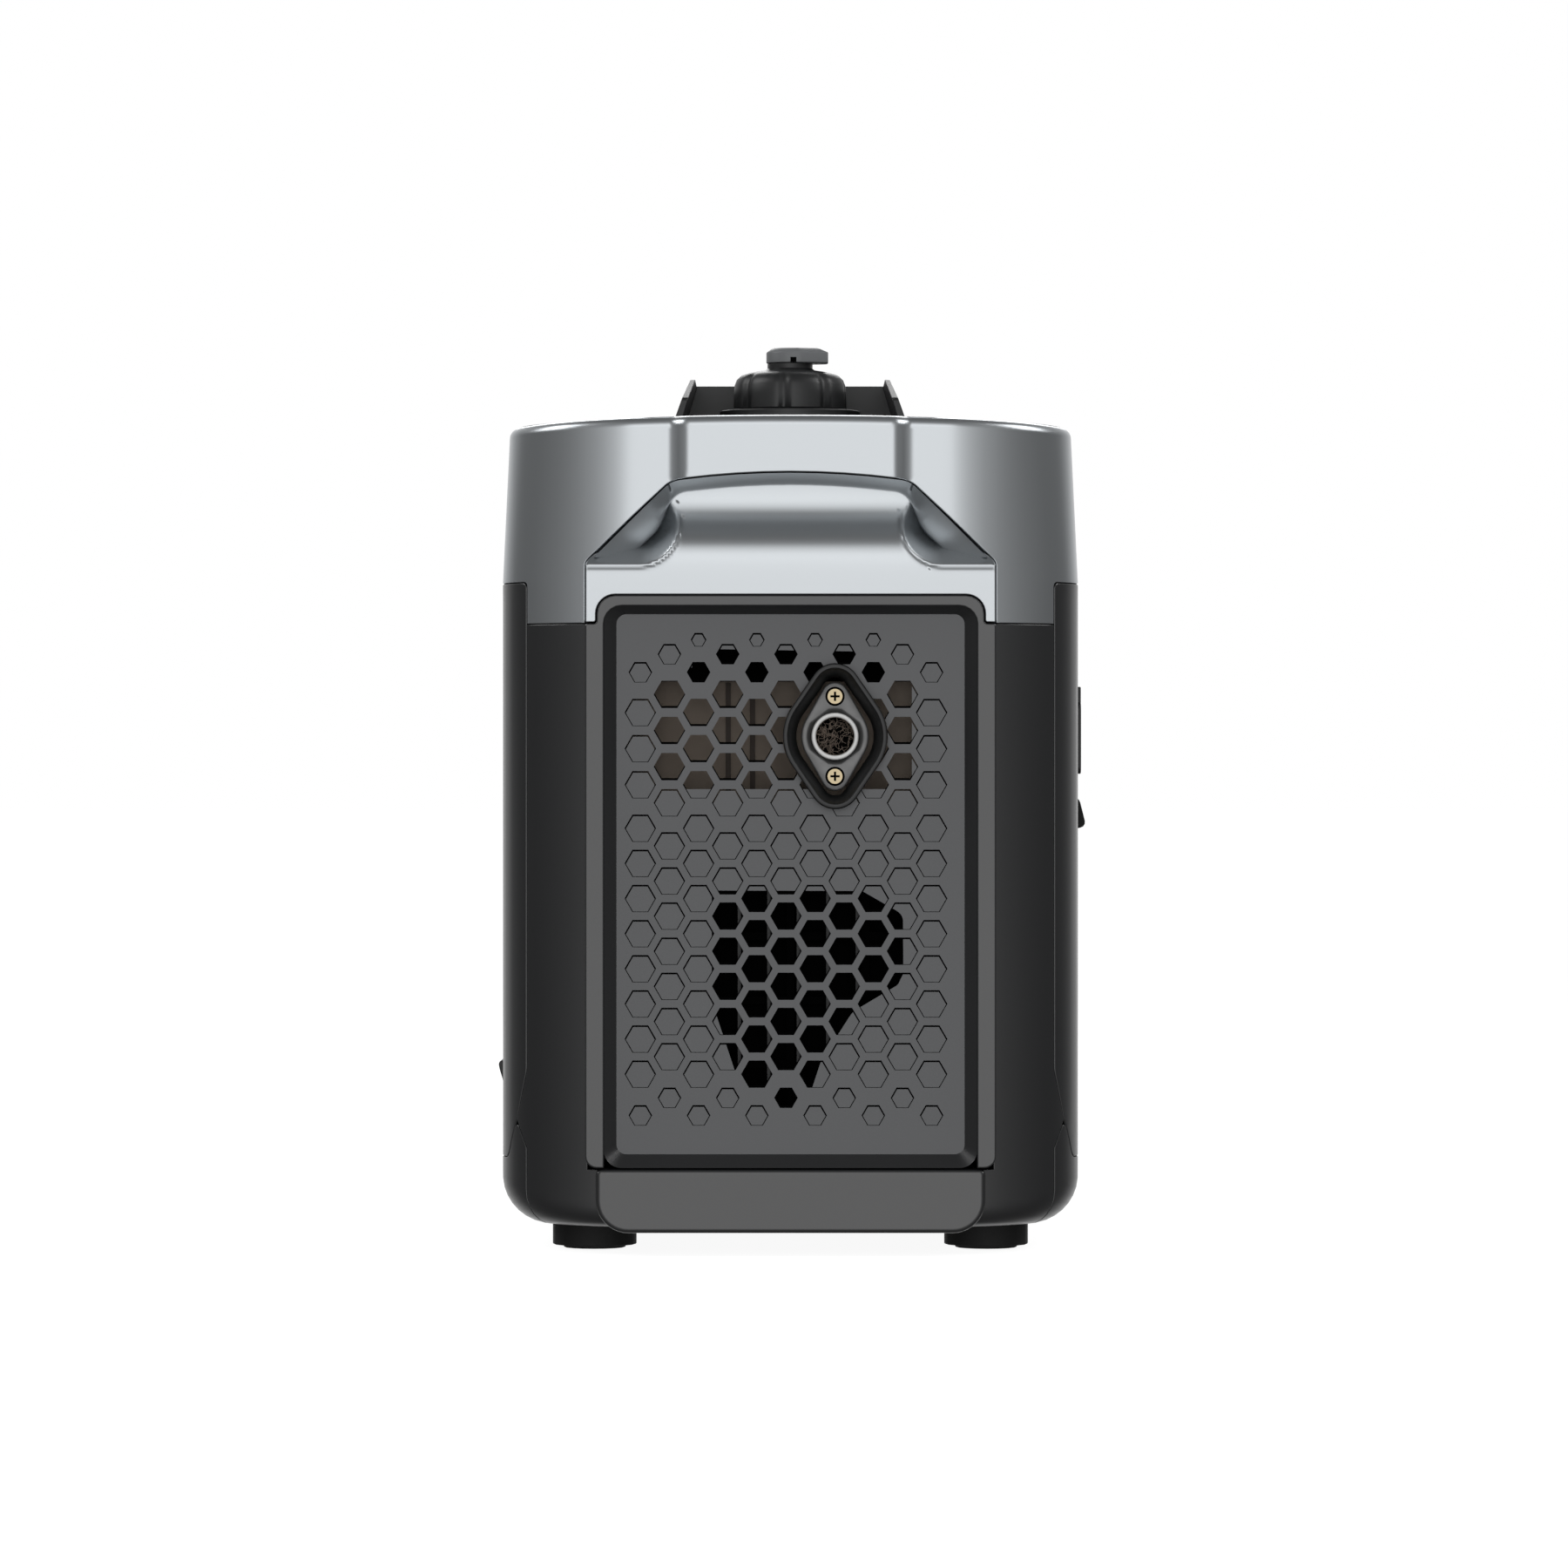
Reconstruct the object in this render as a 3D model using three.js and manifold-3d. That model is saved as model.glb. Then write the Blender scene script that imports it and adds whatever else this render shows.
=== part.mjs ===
// Enclosed inverter generator, built as an assembly of separate pieces.
// Millimetres, +Z up. The exhaust end faces -Y, the control panel faces +Y and the
// recoil starter faces +X. The origin is under the middle of the body, on the ground.

import * as THREE from 'three';
import { mergeVertices } from 'three/addons/utils/BufferGeometryUtils.js';
import { LoftGeometry } from 'three/addons/geometries/LoftGeometry.js';
import Module from 'manifold-3d';

const wasm = await Module();
wasm.setup();

// ---------------------------------------------------------------- driving dimensions

const GAP = 0.3; // clearance between neighbouring pieces
const FAR = 1000; // reach of a cutting block that passes right through

const BODY = {
  length: 596, width: 296, floor: 14, top: 426, crown: 4, taper: 4, wall: 3,
  cornerAcross: 88, cornerAlong: 60, sideEdge: 24, endEdge: 10, topSideEdge: 4, topEndEdge: 8,
};
const BOSS = { proud: 3, depth: 15, inset: 44, low: 44.6, corner: 10, barHalf: 56 };
const SEAM = {
  side: 342, shoulder: 320.6, tabTop: 334.6, tabInset: 49.8, turn: 13.5, endInset: 28.1,
  slopeFoot: 67.4, slopeTop: 92.5, slopeReach: 6.6, belt: 47.7, beltReach: 8.3, beltLow: 53.5,
};
const LIP = { inset: 50, low: 11.7, high: 44.3, edge: 15 };
const HANDLE = {
  mouthHalf: 100.2, ledge: 353.5, kneeHalf: 60.6, kneeUp: 38.4, archUp: 44.1,
  throatHalf: 76, throatKneeHalf: 56, throatKneeUp: 34, throatArchUp: 37,
  barDepth: 18, pocketDepth: 43, fingerUp: 55, fingerHalf: 56, wall: 3,
};
const PANEL = { half: 94.3, low: 45, high: 329, edge: 9, groove: 6.2, sill: 6.5, field: 4.5, plate: 2.5 };
const CELLS = {
  columns: 11, pitch: 14.76, middle: -2.3, large: 8, mid: 6,
  upperTop: 284.4, upperStep: 18.3, upperRows: 4, lowerTop: 216.6, lowerStep: 17.8, lowerRows: 8,
  midRise: 20.4, midDrop: 20.9,
};
const UPPER_WINDOW = [[-69, 236.4], [61.5, 236.4], [61.5, 307], [-69, 307]];
const LOWER_WINDOW = [
  [-39.9, 185, 3], [-39.9, 128.9], [-25.3, 84.8, 4], [-12.1, 75.1], [7.7, 75.1], [15.5, 98.7],
  [31.5, 123.6, 12], [54.4, 137.2, 4], [57.2, 143], [57, 172.9, 6], [36.3, 184.8, 6],
];
const EXHAUST = {
  x: 22.6, z: 263.2, half: 26.4, tall: 36.7, tipRadius: 13, rim: 3, shroudDepth: 17,
  flangeHalf: 17.2, flangeTall: 27.6, flangeTip: 7, flangePlate: 3, flangeInset: 14.5,
  pipeRadius: 11.9, bore: 9.65, pipeProud: 4, screwRise: 20.3, screwHead: 3.8, screwProud: 2.4,
  arresterDepth: 10,
};
const MUFFLER = { x: -4, width: 158, low: 205, high: 318, depth: 58, edge: 16, setback: 27 };
const DUCT = { half: 78, low: 62, high: 196, plate: 3, setback: 22, rows: 4, columns: 4, bar: 4 };
const ENGINE = { x: 8, axis: 173, near: 103, depth: 98, half: 62, wall: 8 };
const SHAFT = { radius: 12, webRadius: 40, webDrop: 4, webWidth: 13, webSpread: 9, pinRadius: 10, throw: 22, pulleyEnd: 12 };
const CYLINDER = { bore: 26, core: 34, fin: 42, finStep: 11, finPlate: 3, height: 64, headHeight: 24 };
const PISTON = { height: 34, crownPlate: 6, wall: 4 };
const PLUG = { radius: 7, length: 34, bootRadius: 11, bootLength: 26, rise: 12 };
const ALTERNATOR = { rotor: 72, rotorWall: 6, stator: 60, length: 34, standoff: 2 };
const FAN = { radius: 78, hub: 30, blades: 7, width: 14, plate: 3 };
const RECOIL = { housing: 92, wall: 3, depth: 30, pulley: 50, pulleyWidth: 16, groove: 5, ropeY: -25 };
const GRIP = { length: 66, height: 18, reach: 10.5, stem: 4, guide: 10, guideProud: 1 };
const DIAL = { y: -28, z: 264, radius: 21.5, depth: 10, pointer: 6.4, bar: 6, stem: 6 };
const CARBURETTOR = { width: 46, height: 38, throat: 12 };
const AIRBOX = { width: 170, length: 108, height: 54, wall: 2.5 };
const TANK = { width: 256, length: 300, low: 332, high: 402, wall: 2, edge: 24, neck: 26, neckTop: 455, shift: 20 };
const FILLER = { ringInner: 29, ringOuter: 38.5, ringTop: 443.4 };
const CAP = {
  radius: 31.1, low: 444, skirtTop: 458, shoulder: 463, lobes: 8, lobeDepth: 2.2, boss: 12.4, bossTop: 469.4,
  knob: 13, knobTop: 478, tail: 21, tailHalf: 5.5,
};
const GUARD = { footHalf: 66.3, topHalf: 54.4, top: 460, wall: 3.6, floor: 2.5, front: 48, back: 52, frontTop: 448 };
const INVERTER = { width: 200, low: 70, high: 250, plate: 16, fins: 9, finDepth: 30, finPlate: 3, standback: 56 };
const DOOR = { y: -100, width: 180, low: 66, high: 290, edge: 12 };
const LATCH = { width: 30, low: 72.8, high: 92, reach: 7.3, toe: 2 };
const OIL_CAP = { radius: 14, depth: 14, drop: 40 };
const FOOT = { x: 101, y: 225, outer: 21.6, inner: 16, step: 1.6 };
const LOUVRE = { count: 9, pitch: 13, slot: 5, length: 92, low: 96, y: 130 };
const OUTLET = { x: 44, z: 128, size: 54, edge: 8, depth: 34, proud: 1.5, pin: 3.2, spread: 10, hole: 20 };
const DISPLAY = { z: 286, width: 96, height: 38, depth: 14, proud: 0.8 };
const PORT = { x: -44, z: 216, radius: 15, depth: 24, bore: 9, boreDepth: 16, flapHalf: 19, flapPlate: 2.5 };
const SWITCH = { x: 44, z: 216, width: 30, height: 20, depth: 12, proud: 2.5 };
const BUTTON = { z: 216, radius: 6, depth: 14, proud: 3.5, resetX: 14, breakerX: -12 };
const TERMINAL = { x: 68, z: 70, radius: 4, head: 8, depth: 22, proud: 5 };

// ---------------------------------------------------------------- finishes

const finish = (color, roughness, metalness = 0) =>
  new THREE.MeshStandardMaterial({ color, roughness, metalness });
const SILVER = finish('#8f9396', 0.32, 0.6);
const SHELL = finish('#2a2b2e', 0.5);
const GRILLE = finish('#4b4c4f', 0.55);
const RUBBER = finish('#0b0b0b', 0.85);
const BLACK = finish('#161618', 0.45);
const BRASSY = finish('#d9c08e', 0.35, 0.9);
const STEEL = finish('#8b8d8f', 0.35, 0.9);
const HOT_STEEL = finish('#4a423d', 0.55, 0.7);
const CASTING = finish('#8a8c8e', 0.55, 0.8);
const COPPER = finish('#9a5a34', 0.4, 0.9);
const CLEAR_GREY = finish('#20262a', 0.12);

// ---------------------------------------------------------------- solids

// A closed BufferGeometry as a solid that can be cut and joined.
function toSolid(geometry) {
  const bare = new THREE.BufferGeometry();
  bare.setAttribute('position', geometry.getAttribute('position'));
  bare.setIndex(geometry.getIndex());
  const merged = mergeVertices(bare, 1e-4);
  return new wasm.Manifold(new wasm.Mesh({
    numProp: 3,
    vertProperties: new Float32Array(merged.attributes.position.array),
    triVerts: new Uint32Array(merged.index.array),
  }));
}

function toGeometry(solid) {
  const mesh = solid.getMesh();
  const geometry = new THREE.BufferGeometry();
  geometry.setAttribute('position', new THREE.BufferAttribute(new Float32Array(mesh.vertProperties), 3));
  geometry.setIndex(new THREE.BufferAttribute(new Uint32Array(mesh.triVerts), 1));
  geometry.computeVertexNormals();
  return geometry;
}

const join = (...solids) => solids.reduce((whole, solid) => whole.add(solid));
const cut = (solid, ...tools) => tools.reduce((rest, tool) => rest.subtract(tool), solid);
const common = (...solids) => solids.reduce((whole, solid) => whole.intersect(solid));

// How an outline drawn in two numbers stands in space: (x, y) along z, (x, z) along y, (y, z) along x.
const X = new THREE.Vector3(1, 0, 0);
const Y = new THREE.Vector3(0, 1, 0);
const Z = new THREE.Vector3(0, 0, 1);
const BASES = {
  x: { turn: new THREE.Matrix4().makeBasis(Y, Z, X), sign: 1 },
  y: { turn: new THREE.Matrix4().makeBasis(X, Z, Y.clone().negate()), sign: -1 },
  z: { turn: new THREE.Matrix4(), sign: 1 },
};

// An outline pushed along an axis from one station to another, with any holes left open.
function prism(outline, axis, from, to, holes = []) {
  const { turn, sign } = BASES[axis];
  const shape = new THREE.Shape(outline.map(([u, v]) => new THREE.Vector2(u, v)));
  for (const hole of holes) {
    shape.holes.push(new THREE.Path(hole.map(([u, v]) => new THREE.Vector2(u, v))));
  }
  const geometry = new THREE.ExtrudeGeometry(shape, { depth: to - from, bevelEnabled: false });
  geometry.translate(0, 0, sign > 0 ? from : -to);
  geometry.applyMatrix4(turn);
  return toSolid(geometry);
}

// A solid between two outlines with the same number of points, at two stations along y.
function loftAlongY(first, firstY, second, secondY) {
  const sections = [[first, firstY], [second, secondY]].map(
    ([outline, y]) => outline.map(([x, z]) => new THREE.Vector3(x, y, z)).reverse(),
  );
  return toSolid(new LoftGeometry(sections, { capStart: true, capEnd: true }));
}

// A profile of [radius, height] points turned about z. It starts and ends on the axis.
function turned(profile, steps = 16) {
  const points = profile.map(([radius, height]) => new THREE.Vector2(radius, height));
  return toSolid(new THREE.LatheGeometry(points, steps).rotateX(Math.PI / 2));
}

// A round hose or lead of one thickness that follows a smooth route.
function hose(route, radius, steps, sides = 8) {
  const path = new THREE.CatmullRomCurve3(route.map((point) => new THREE.Vector3(...point)));
  const section = new THREE.Shape(ring(radius, sides).map(([u, v]) => new THREE.Vector2(u, v)));
  const geometry = new THREE.ExtrudeGeometry(section, { steps, bevelEnabled: false, extrudePath: path });
  return toSolid(geometry);
}

const block = (x0, x1, y0, y1, z0, z1) => prism([[x0, y0], [x1, y0], [x1, y1], [x0, y1]], 'z', z0, z1);

// ---------------------------------------------------------------- outlines

// Points of a circle, anticlockwise.
function ring(radius, steps = 20, u = 0, v = 0) {
  return Array.from({ length: steps }, (_, i) => {
    const angle = (i / steps) * 2 * Math.PI;
    return [u + radius * Math.cos(angle), v + radius * Math.sin(angle)];
  });
}

// A closed polygon whose corners [u, v, radius] are rounded by arcs.
function rounded(corners, steps = 3) {
  return corners.flatMap(([u, v, radius = 0], i) => {
    if (radius === 0) return [[u, v]];
    const corner = new THREE.Vector2(u, v);
    const last = corners[(i + corners.length - 1) % corners.length];
    const next = corners[(i + 1) % corners.length];
    const back = new THREE.Vector2(last[0], last[1]).sub(corner).normalize();
    const ahead = new THREE.Vector2(next[0], next[1]).sub(corner).normalize();
    const half = Math.acos(THREE.MathUtils.clamp(back.dot(ahead), -1, 1)) / 2;
    const centre = back.clone().add(ahead).normalize().multiplyScalar(radius / Math.sin(half)).add(corner);
    const start = back.clone().multiplyScalar(radius / Math.tan(half)).add(corner).sub(centre);
    const end = ahead.clone().multiplyScalar(radius / Math.tan(half)).add(corner).sub(centre);
    const sweep = Math.atan2(start.cross(end), start.dot(end));
    return Array.from({ length: steps + 1 }, (_, k) => {
      const angle = start.angle() + (sweep * k) / steps;
      return [centre.x + radius * Math.cos(angle), centre.y + radius * Math.sin(angle)];
    });
  });
}

const box2 = (u0, u1, v0, v1, radius = 0, steps = 3) =>
  rounded([[u0, v0, radius], [u1, v0, radius], [u1, v1, radius], [u0, v1, radius]], steps);

// An anticlockwise outline with every side moved outwards by a distance, or inwards if it is negative.
function grow(outline, distance) {
  const normal = (from, to) => new THREE.Vector2(to[1] - from[1], from[0] - to[0]).normalize();
  return outline.map((point, i) => {
    const before = normal(outline[(i + outline.length - 1) % outline.length], point);
    const after = normal(point, outline[(i + 1) % outline.length]);
    const shift = before.clone().add(after).multiplyScalar(distance / (1 + before.dot(after)));
    return [point[0] + shift.x, point[1] + shift.y];
  });
}

// The smallest convex outline around two small circles above and below a large one.
function lozenge(half, tall, tipRadius, u = 0, v = 0, steps = 5) {
  const rise = tall - tipRadius;
  const lean = Math.asin((half - tipRadius) / rise);
  const arc = (radius, offset, from, to) => Array.from({ length: steps + 1 }, (_, k) => {
    const angle = from + ((to - from) * k) / steps;
    return [u + radius * Math.cos(angle), v + offset + radius * Math.sin(angle)];
  });
  return [
    ...arc(half, 0, -lean, lean),
    ...arc(tipRadius, rise, lean, Math.PI - lean),
    ...arc(half, 0, Math.PI - lean, Math.PI + lean),
    ...arc(tipRadius, -rise, Math.PI + lean, 2 * Math.PI - lean),
  ];
}

// ---------------------------------------------------------------- the enclosure

const halfLength = BODY.length / 2;
const bodyEnd = halfLength - BOSS.proud;
const halfWidth = BODY.width / 2;
const bossHalf = halfWidth - BOSS.inset;
const endSeamY = bodyEnd - SEAM.endInset;
const cornerHalf = halfWidth - BODY.cornerAcross;
const tabHalf = halfWidth - SEAM.tabInset;

// The body's plan: flat ends, straight sides and elliptical corners.
function planOutline(inset, steps = 6) {
  const signs = [[1, -1], [1, 1], [-1, 1], [-1, -1]];
  return signs.flatMap(([signX, signY], quarter) => Array.from({ length: steps + 1 }, (_, k) => {
    const angle = ((quarter - 1 + k / steps) * Math.PI) / 2;
    return [
      signX * cornerHalf + (BODY.cornerAcross - inset) * Math.cos(angle),
      signY * (bodyEnd - BODY.cornerAlong) + (BODY.cornerAlong - inset) * Math.sin(angle),
    ];
  }));
}

// The body seen from an end: upright sides, a slight taper above the seam and a crowned top.
function endOutline(inset) {
  const half = halfWidth - inset;
  const topHalf = half - BODY.taper;
  const low = BODY.floor + inset;
  const shoulder = BODY.top - BODY.crown - inset;
  const crown = [-3, -2, -1, 0, 1, 2, 3].map((k) => {
    const share = -k / 4;
    return [topHalf * share, BODY.top - inset - BODY.crown * share * share];
  });
  return rounded([
    [-half, low, BODY.sideEdge - inset], [half, low, BODY.sideEdge - inset], [half, SEAM.side],
    [topHalf, shoulder, BODY.topSideEdge], ...crown, [-topHalf, shoulder, BODY.topSideEdge],
    [-half, SEAM.side],
  ], 4);
}

// The body seen from a side, with its ends at plus and minus a reach.
function sideOutline(reach, inset) {
  const low = BODY.floor + inset;
  const end = reach - inset;
  const top = BODY.top - inset;
  return rounded([
    [-end, low, BODY.endEdge - inset], [end, low, BODY.endEdge - inset],
    [end, top, BODY.topEndEdge - inset], [-end, top, BODY.topEndEdge - inset],
  ]);
}

const bodySolid = (inset) => common(
  prism(planOutline(inset), 'z', 0, FAR),
  prism(endOutline(inset), 'y', -FAR, FAR),
  prism(sideOutline(bodyEnd, inset), 'x', -FAR, FAR),
);

// The grab bars stand proud of the curved ends.
const bars = common(
  block(-BOSS.barHalf, BOSS.barHalf, -halfLength, halfLength, HANDLE.ledge, FAR),
  prism(endOutline(0), 'y', -FAR, FAR),
  prism(sideOutline(halfLength, 0), 'x', -FAR, FAR),
);
const bodyOuter = join(bodySolid(0), bars);
const bodyInner = bodySolid(BODY.wall);
const shell = cut(bodyOuter, bodyInner);
const part = new THREE.Group();
part.name = 'portable_generator';

// Adds one named piece to the assembly, or to a nested group of it.
function add(name, solid, material, parent = part) {
  const mesh = new THREE.Mesh(toGeometry(solid), material);
  mesh.name = name;
  parent.add(mesh);
  return mesh;
}

// Everything above the seam, seen from an end. The bezel's tab stands up into it.
const turnHalf = halfWidth - SEAM.turn;
const topRegion = [
  [-FAR, SEAM.side], [-turnHalf, SEAM.side], [-turnHalf, SEAM.shoulder], [-tabHalf, SEAM.shoulder],
  [-tabHalf, SEAM.tabTop], [tabHalf, SEAM.tabTop], [tabHalf, SEAM.shoulder], [turnHalf, SEAM.shoulder],
  [turnHalf, SEAM.side], [FAR, SEAM.side], [FAR, FAR], [-FAR, FAR],
];

// The end covers, the side covers and the base pan, seen from a side.
const slopeY = endSeamY - SEAM.slopeReach;
const beltY = slopeY - SEAM.beltReach;
const rearRegion = [
  [-FAR, -FAR], [-endSeamY, -FAR], [-endSeamY, SEAM.beltLow], [-slopeY, SEAM.slopeFoot],
  [-endSeamY, SEAM.slopeTop], [-endSeamY, FAR], [-FAR, FAR],
];
const sideRegion = [
  [-beltY, SEAM.belt], [beltY, SEAM.belt], [slopeY, SEAM.slopeFoot], [endSeamY, SEAM.slopeTop],
  [endSeamY, FAR], [-endSeamY, FAR], [-endSeamY, SEAM.slopeTop], [-slopeY, SEAM.slopeFoot],
];
const baseRegion = [
  [-endSeamY, -FAR], [endSeamY, -FAR], [endSeamY, SEAM.beltLow], [slopeY, SEAM.slopeFoot],
  [beltY, SEAM.belt], [-beltY, SEAM.belt], [-slopeY, SEAM.slopeFoot], [-endSeamY, SEAM.beltLow],
];
const region = (outline, axis) => prism(grow(outline, -GAP / 2), axis, -FAR, FAR);
const underTop = cut(shell, prism(grow(topRegion, GAP / 2), 'y', -FAR, FAR));

// The handle's mouth on the end face and its narrower throat behind the bar, seen from an end.
const mouthOutline = (extra = 0) => grow(rounded([
  [-HANDLE.mouthHalf, HANDLE.ledge, 5], [HANDLE.mouthHalf, HANDLE.ledge, 5],
  [HANDLE.kneeHalf, HANDLE.ledge + HANDLE.kneeUp, 8], [0, HANDLE.ledge + HANDLE.archUp, 40],
  [-HANDLE.kneeHalf, HANDLE.ledge + HANDLE.kneeUp, 8],
]), extra);
const throatOutline = (extra = 0) => grow(rounded([
  [-HANDLE.throatHalf, HANDLE.ledge, 5], [HANDLE.throatHalf, HANDLE.ledge, 5],
  [HANDLE.throatKneeHalf, HANDLE.ledge + HANDLE.throatKneeUp, 8], [0, HANDLE.ledge + HANDLE.throatArchUp, 40],
  [-HANDLE.throatKneeHalf, HANDLE.ledge + HANDLE.throatKneeUp, 8],
]), extra);
const fasciaOutline = [
  [-bossHalf, SEAM.shoulder], [-tabHalf - GAP, SEAM.shoulder], [-tabHalf - GAP, SEAM.tabTop + GAP],
  [tabHalf + GAP, SEAM.tabTop + GAP], [tabHalf + GAP, SEAM.shoulder], [bossHalf, SEAM.shoulder],
  [bossHalf, HANDLE.ledge], [-bossHalf, HANDLE.ledge],
];

// The hollow of the handle at the rear end. A wall grows it into the cup's outside.
function handleHollow(wall = 0) {
  const face = -halfLength - 1;
  const throatY = -halfLength + HANDLE.barDepth;
  const backY = -halfLength + HANDLE.pocketDepth + wall;
  const fingers = box2(
    -HANDLE.fingerHalf - wall, HANDLE.fingerHalf + wall,
    HANDLE.ledge, HANDLE.ledge + HANDLE.fingerUp + wall, 6,
  );
  return join(
    loftAlongY(mouthOutline(wall), face, throatOutline(wall), throatY),
    prism(throatOutline(wall), 'y', throatY - 0.01, backY),
    prism(fingers, 'y', throatY + HANDLE.wall - wall, backY),
  );
}

// The handle's lining: a cup around the hollow and the bar's core, behind the top cover's wall, and the
// silver fascia under the mouth.
const bossBack = -halfLength + BOSS.depth;
function handleCup() {
  const barTop = HANDLE.ledge + HANDLE.fingerUp + HANDLE.wall;
  const core = block(
    -HANDLE.kneeHalf, HANDLE.kneeHalf, -halfLength, -halfLength + HANDLE.barDepth + HANDLE.wall,
    HANDLE.ledge + HANDLE.throatKneeUp, barTop,
  );
  const lining = common(join(handleHollow(HANDLE.wall), core), bodySolid(BODY.wall + GAP));
  const fascia = cut(
    prism(fasciaOutline, 'y', -halfLength, bossBack),
    block(
      -bossHalf + HANDLE.wall, bossHalf - HANDLE.wall, -halfLength + HANDLE.wall, 0,
      SEAM.tabTop + GAP + HANDLE.wall, HANDLE.ledge - HANDLE.wall,
    ),
  );
  return cut(join(lining, fascia), handleHollow());
}

// Copies a rear piece to the front end by a half turn about the upright axis.
const toFront = (solid) => solid.rotate([0, 0, 180]);

const fillerHole = prism(ring(FILLER.ringOuter + GAP, 24), 'z', BODY.floor, FAR);
const mouthCut = join(
  prism(mouthOutline(), 'y', -FAR, bossBack + BODY.wall),
  prism(grow(fasciaOutline, GAP), 'y', -FAR, bossBack + BODY.wall),
);
add('top_cover', cut(common(shell, region(topRegion, 'y')), mouthCut, toFront(mouthCut), fillerHole), SILVER);
add('rear_handle_cup', handleCup(), SILVER);
add('front_handle_cup', toFront(handleCup()), SILVER);

// An end cover: a curved skin with a flat bezel around its panel opening and a raised lip below.
// It is drawn at the rear end.
function endCover() {
  const bezel = cut(
    prism(box2(-bossHalf, bossHalf, BOSS.low, FAR, BOSS.corner), 'y', -halfLength, bossBack),
    prism(grow(topRegion, GAP / 2), 'y', -FAR, FAR),
  );
  const lipHalf = halfWidth - LIP.inset;
  const lip = prism(box2(-lipHalf, lipHalf, LIP.low, LIP.high, LIP.edge), 'y', -halfLength, bossBack);
  const opening = prism(box2(-PANEL.half, PANEL.half, PANEL.low, PANEL.high, PANEL.edge), 'y', -FAR, 0);
  const skin = common(underTop, region(rearRegion, 'x'));
  return cut(join(skin, bezel, lip), opening);
}
add('rear_cover', endCover(), SHELL);
add('front_cover', toFront(endCover()), SHELL);
add('base_pan', common(underTop, region(baseRegion, 'x')), SHELL);

const sideShell = common(underTop, region(sideRegion, 'x'));
const doorHalf = DOOR.width / 2;
const doorOutline = (extra = 0) =>
  box2(DOOR.y - doorHalf - extra, DOOR.y + doorHalf + extra, DOOR.low - extra, DOOR.high + extra, DOOR.edge + extra);
const louvres = Array.from({ length: LOUVRE.count }, (_, k) => prism(
  box2(
    LOUVRE.y - LOUVRE.length / 2, LOUVRE.y + LOUVRE.length / 2,
    LOUVRE.low + k * LOUVRE.pitch, LOUVRE.low + k * LOUVRE.pitch + LOUVRE.slot,
  ), 'x', -FAR, FAR,
));
const gripZ = ENGINE.axis + RECOIL.pulley;
const guideHole = prism(ring(GRIP.guide - 2 + GAP, 16, RECOIL.ropeY, gripZ), 'x', 0, FAR);
const dialHole = prism(ring(DIAL.stem + GAP, 16, DIAL.y, DIAL.z), 'x', 0, FAR);
const leftHalf = block(-FAR, 0, -FAR, FAR, 0, FAR);
const rightHalf = block(0, FAR, -FAR, FAR, 0, FAR);
add(
  'left_side_cover',
  cut(common(sideShell, leftHalf), prism(doorOutline(GAP), 'x', -FAR, 0), ...louvres), SHELL,
);
add('right_side_cover', cut(common(sideShell, rightHalf), guideHole, dialHole, ...louvres), SHELL);

// ---------------------------------------------------------------- feet

const footProfile = [
  [0, 0], [FOOT.inner, 0], [FOOT.inner, FOOT.step], [FOOT.outer, FOOT.step],
  [FOOT.outer, BODY.floor - GAP], [0, BODY.floor - GAP],
];
for (const [endName, signY] of [['rear', -1], ['front', 1]]) {
  for (const [sideName, signX] of [['left', -1], ['right', 1]]) {
    const foot = add(`foot_${endName}_${sideName}`, turned(footProfile), RUBBER);
    foot.position.set(signX * FOOT.x, signY * FOOT.y, 0);
  }
}

// ---------------------------------------------------------------- rear grille and exhaust

// Centres of the honeycomb's cells, with the radius of each, row by row in alternate columns.
function honeycomb() {
  const cells = [];
  for (let column = 0; column < CELLS.columns; column += 1) {
    const x = CELLS.middle + (column - (CELLS.columns - 1) / 2) * CELLS.pitch;
    const low = column % 2 === 0;
    const upperTop = CELLS.upperTop - (low ? CELLS.upperStep / 2 : 0);
    const lowerTop = CELLS.lowerTop - (low ? 0 : CELLS.lowerStep / 2);
    const upperRows = low ? CELLS.upperRows - 1 : CELLS.upperRows;
    const lowerRows = low ? CELLS.lowerRows : CELLS.lowerRows - 1;
    for (let row = 0; row < upperRows; row += 1) cells.push([x, upperTop - row * CELLS.upperStep, CELLS.large]);
    for (let row = 0; row < lowerRows; row += 1) cells.push([x, lowerTop - row * CELLS.lowerStep, CELLS.large]);
    cells.push([x, upperTop + CELLS.midRise, CELLS.mid]);
    cells.push([x, lowerTop - (lowerRows - 1) * CELLS.lowerStep - CELLS.midDrop, CELLS.mid]);
  }
  return cells;
}

const panelFace = halfLength - PANEL.sill;
const panelBack = panelFace - PANEL.field;

// The tray that fills an end cover's opening: a thin flange around a raised field.
function panelTray() {
  const flange = box2(
    -PANEL.half + GAP, PANEL.half - GAP, PANEL.low + GAP, PANEL.high - GAP, PANEL.edge - GAP,
  );
  const field = grow(flange, GAP - PANEL.groove);
  return join(
    prism(flange, 'y', -panelBack - PANEL.plate, -panelBack),
    prism(field, 'y', -panelFace, -panelBack),
  );
}

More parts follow.
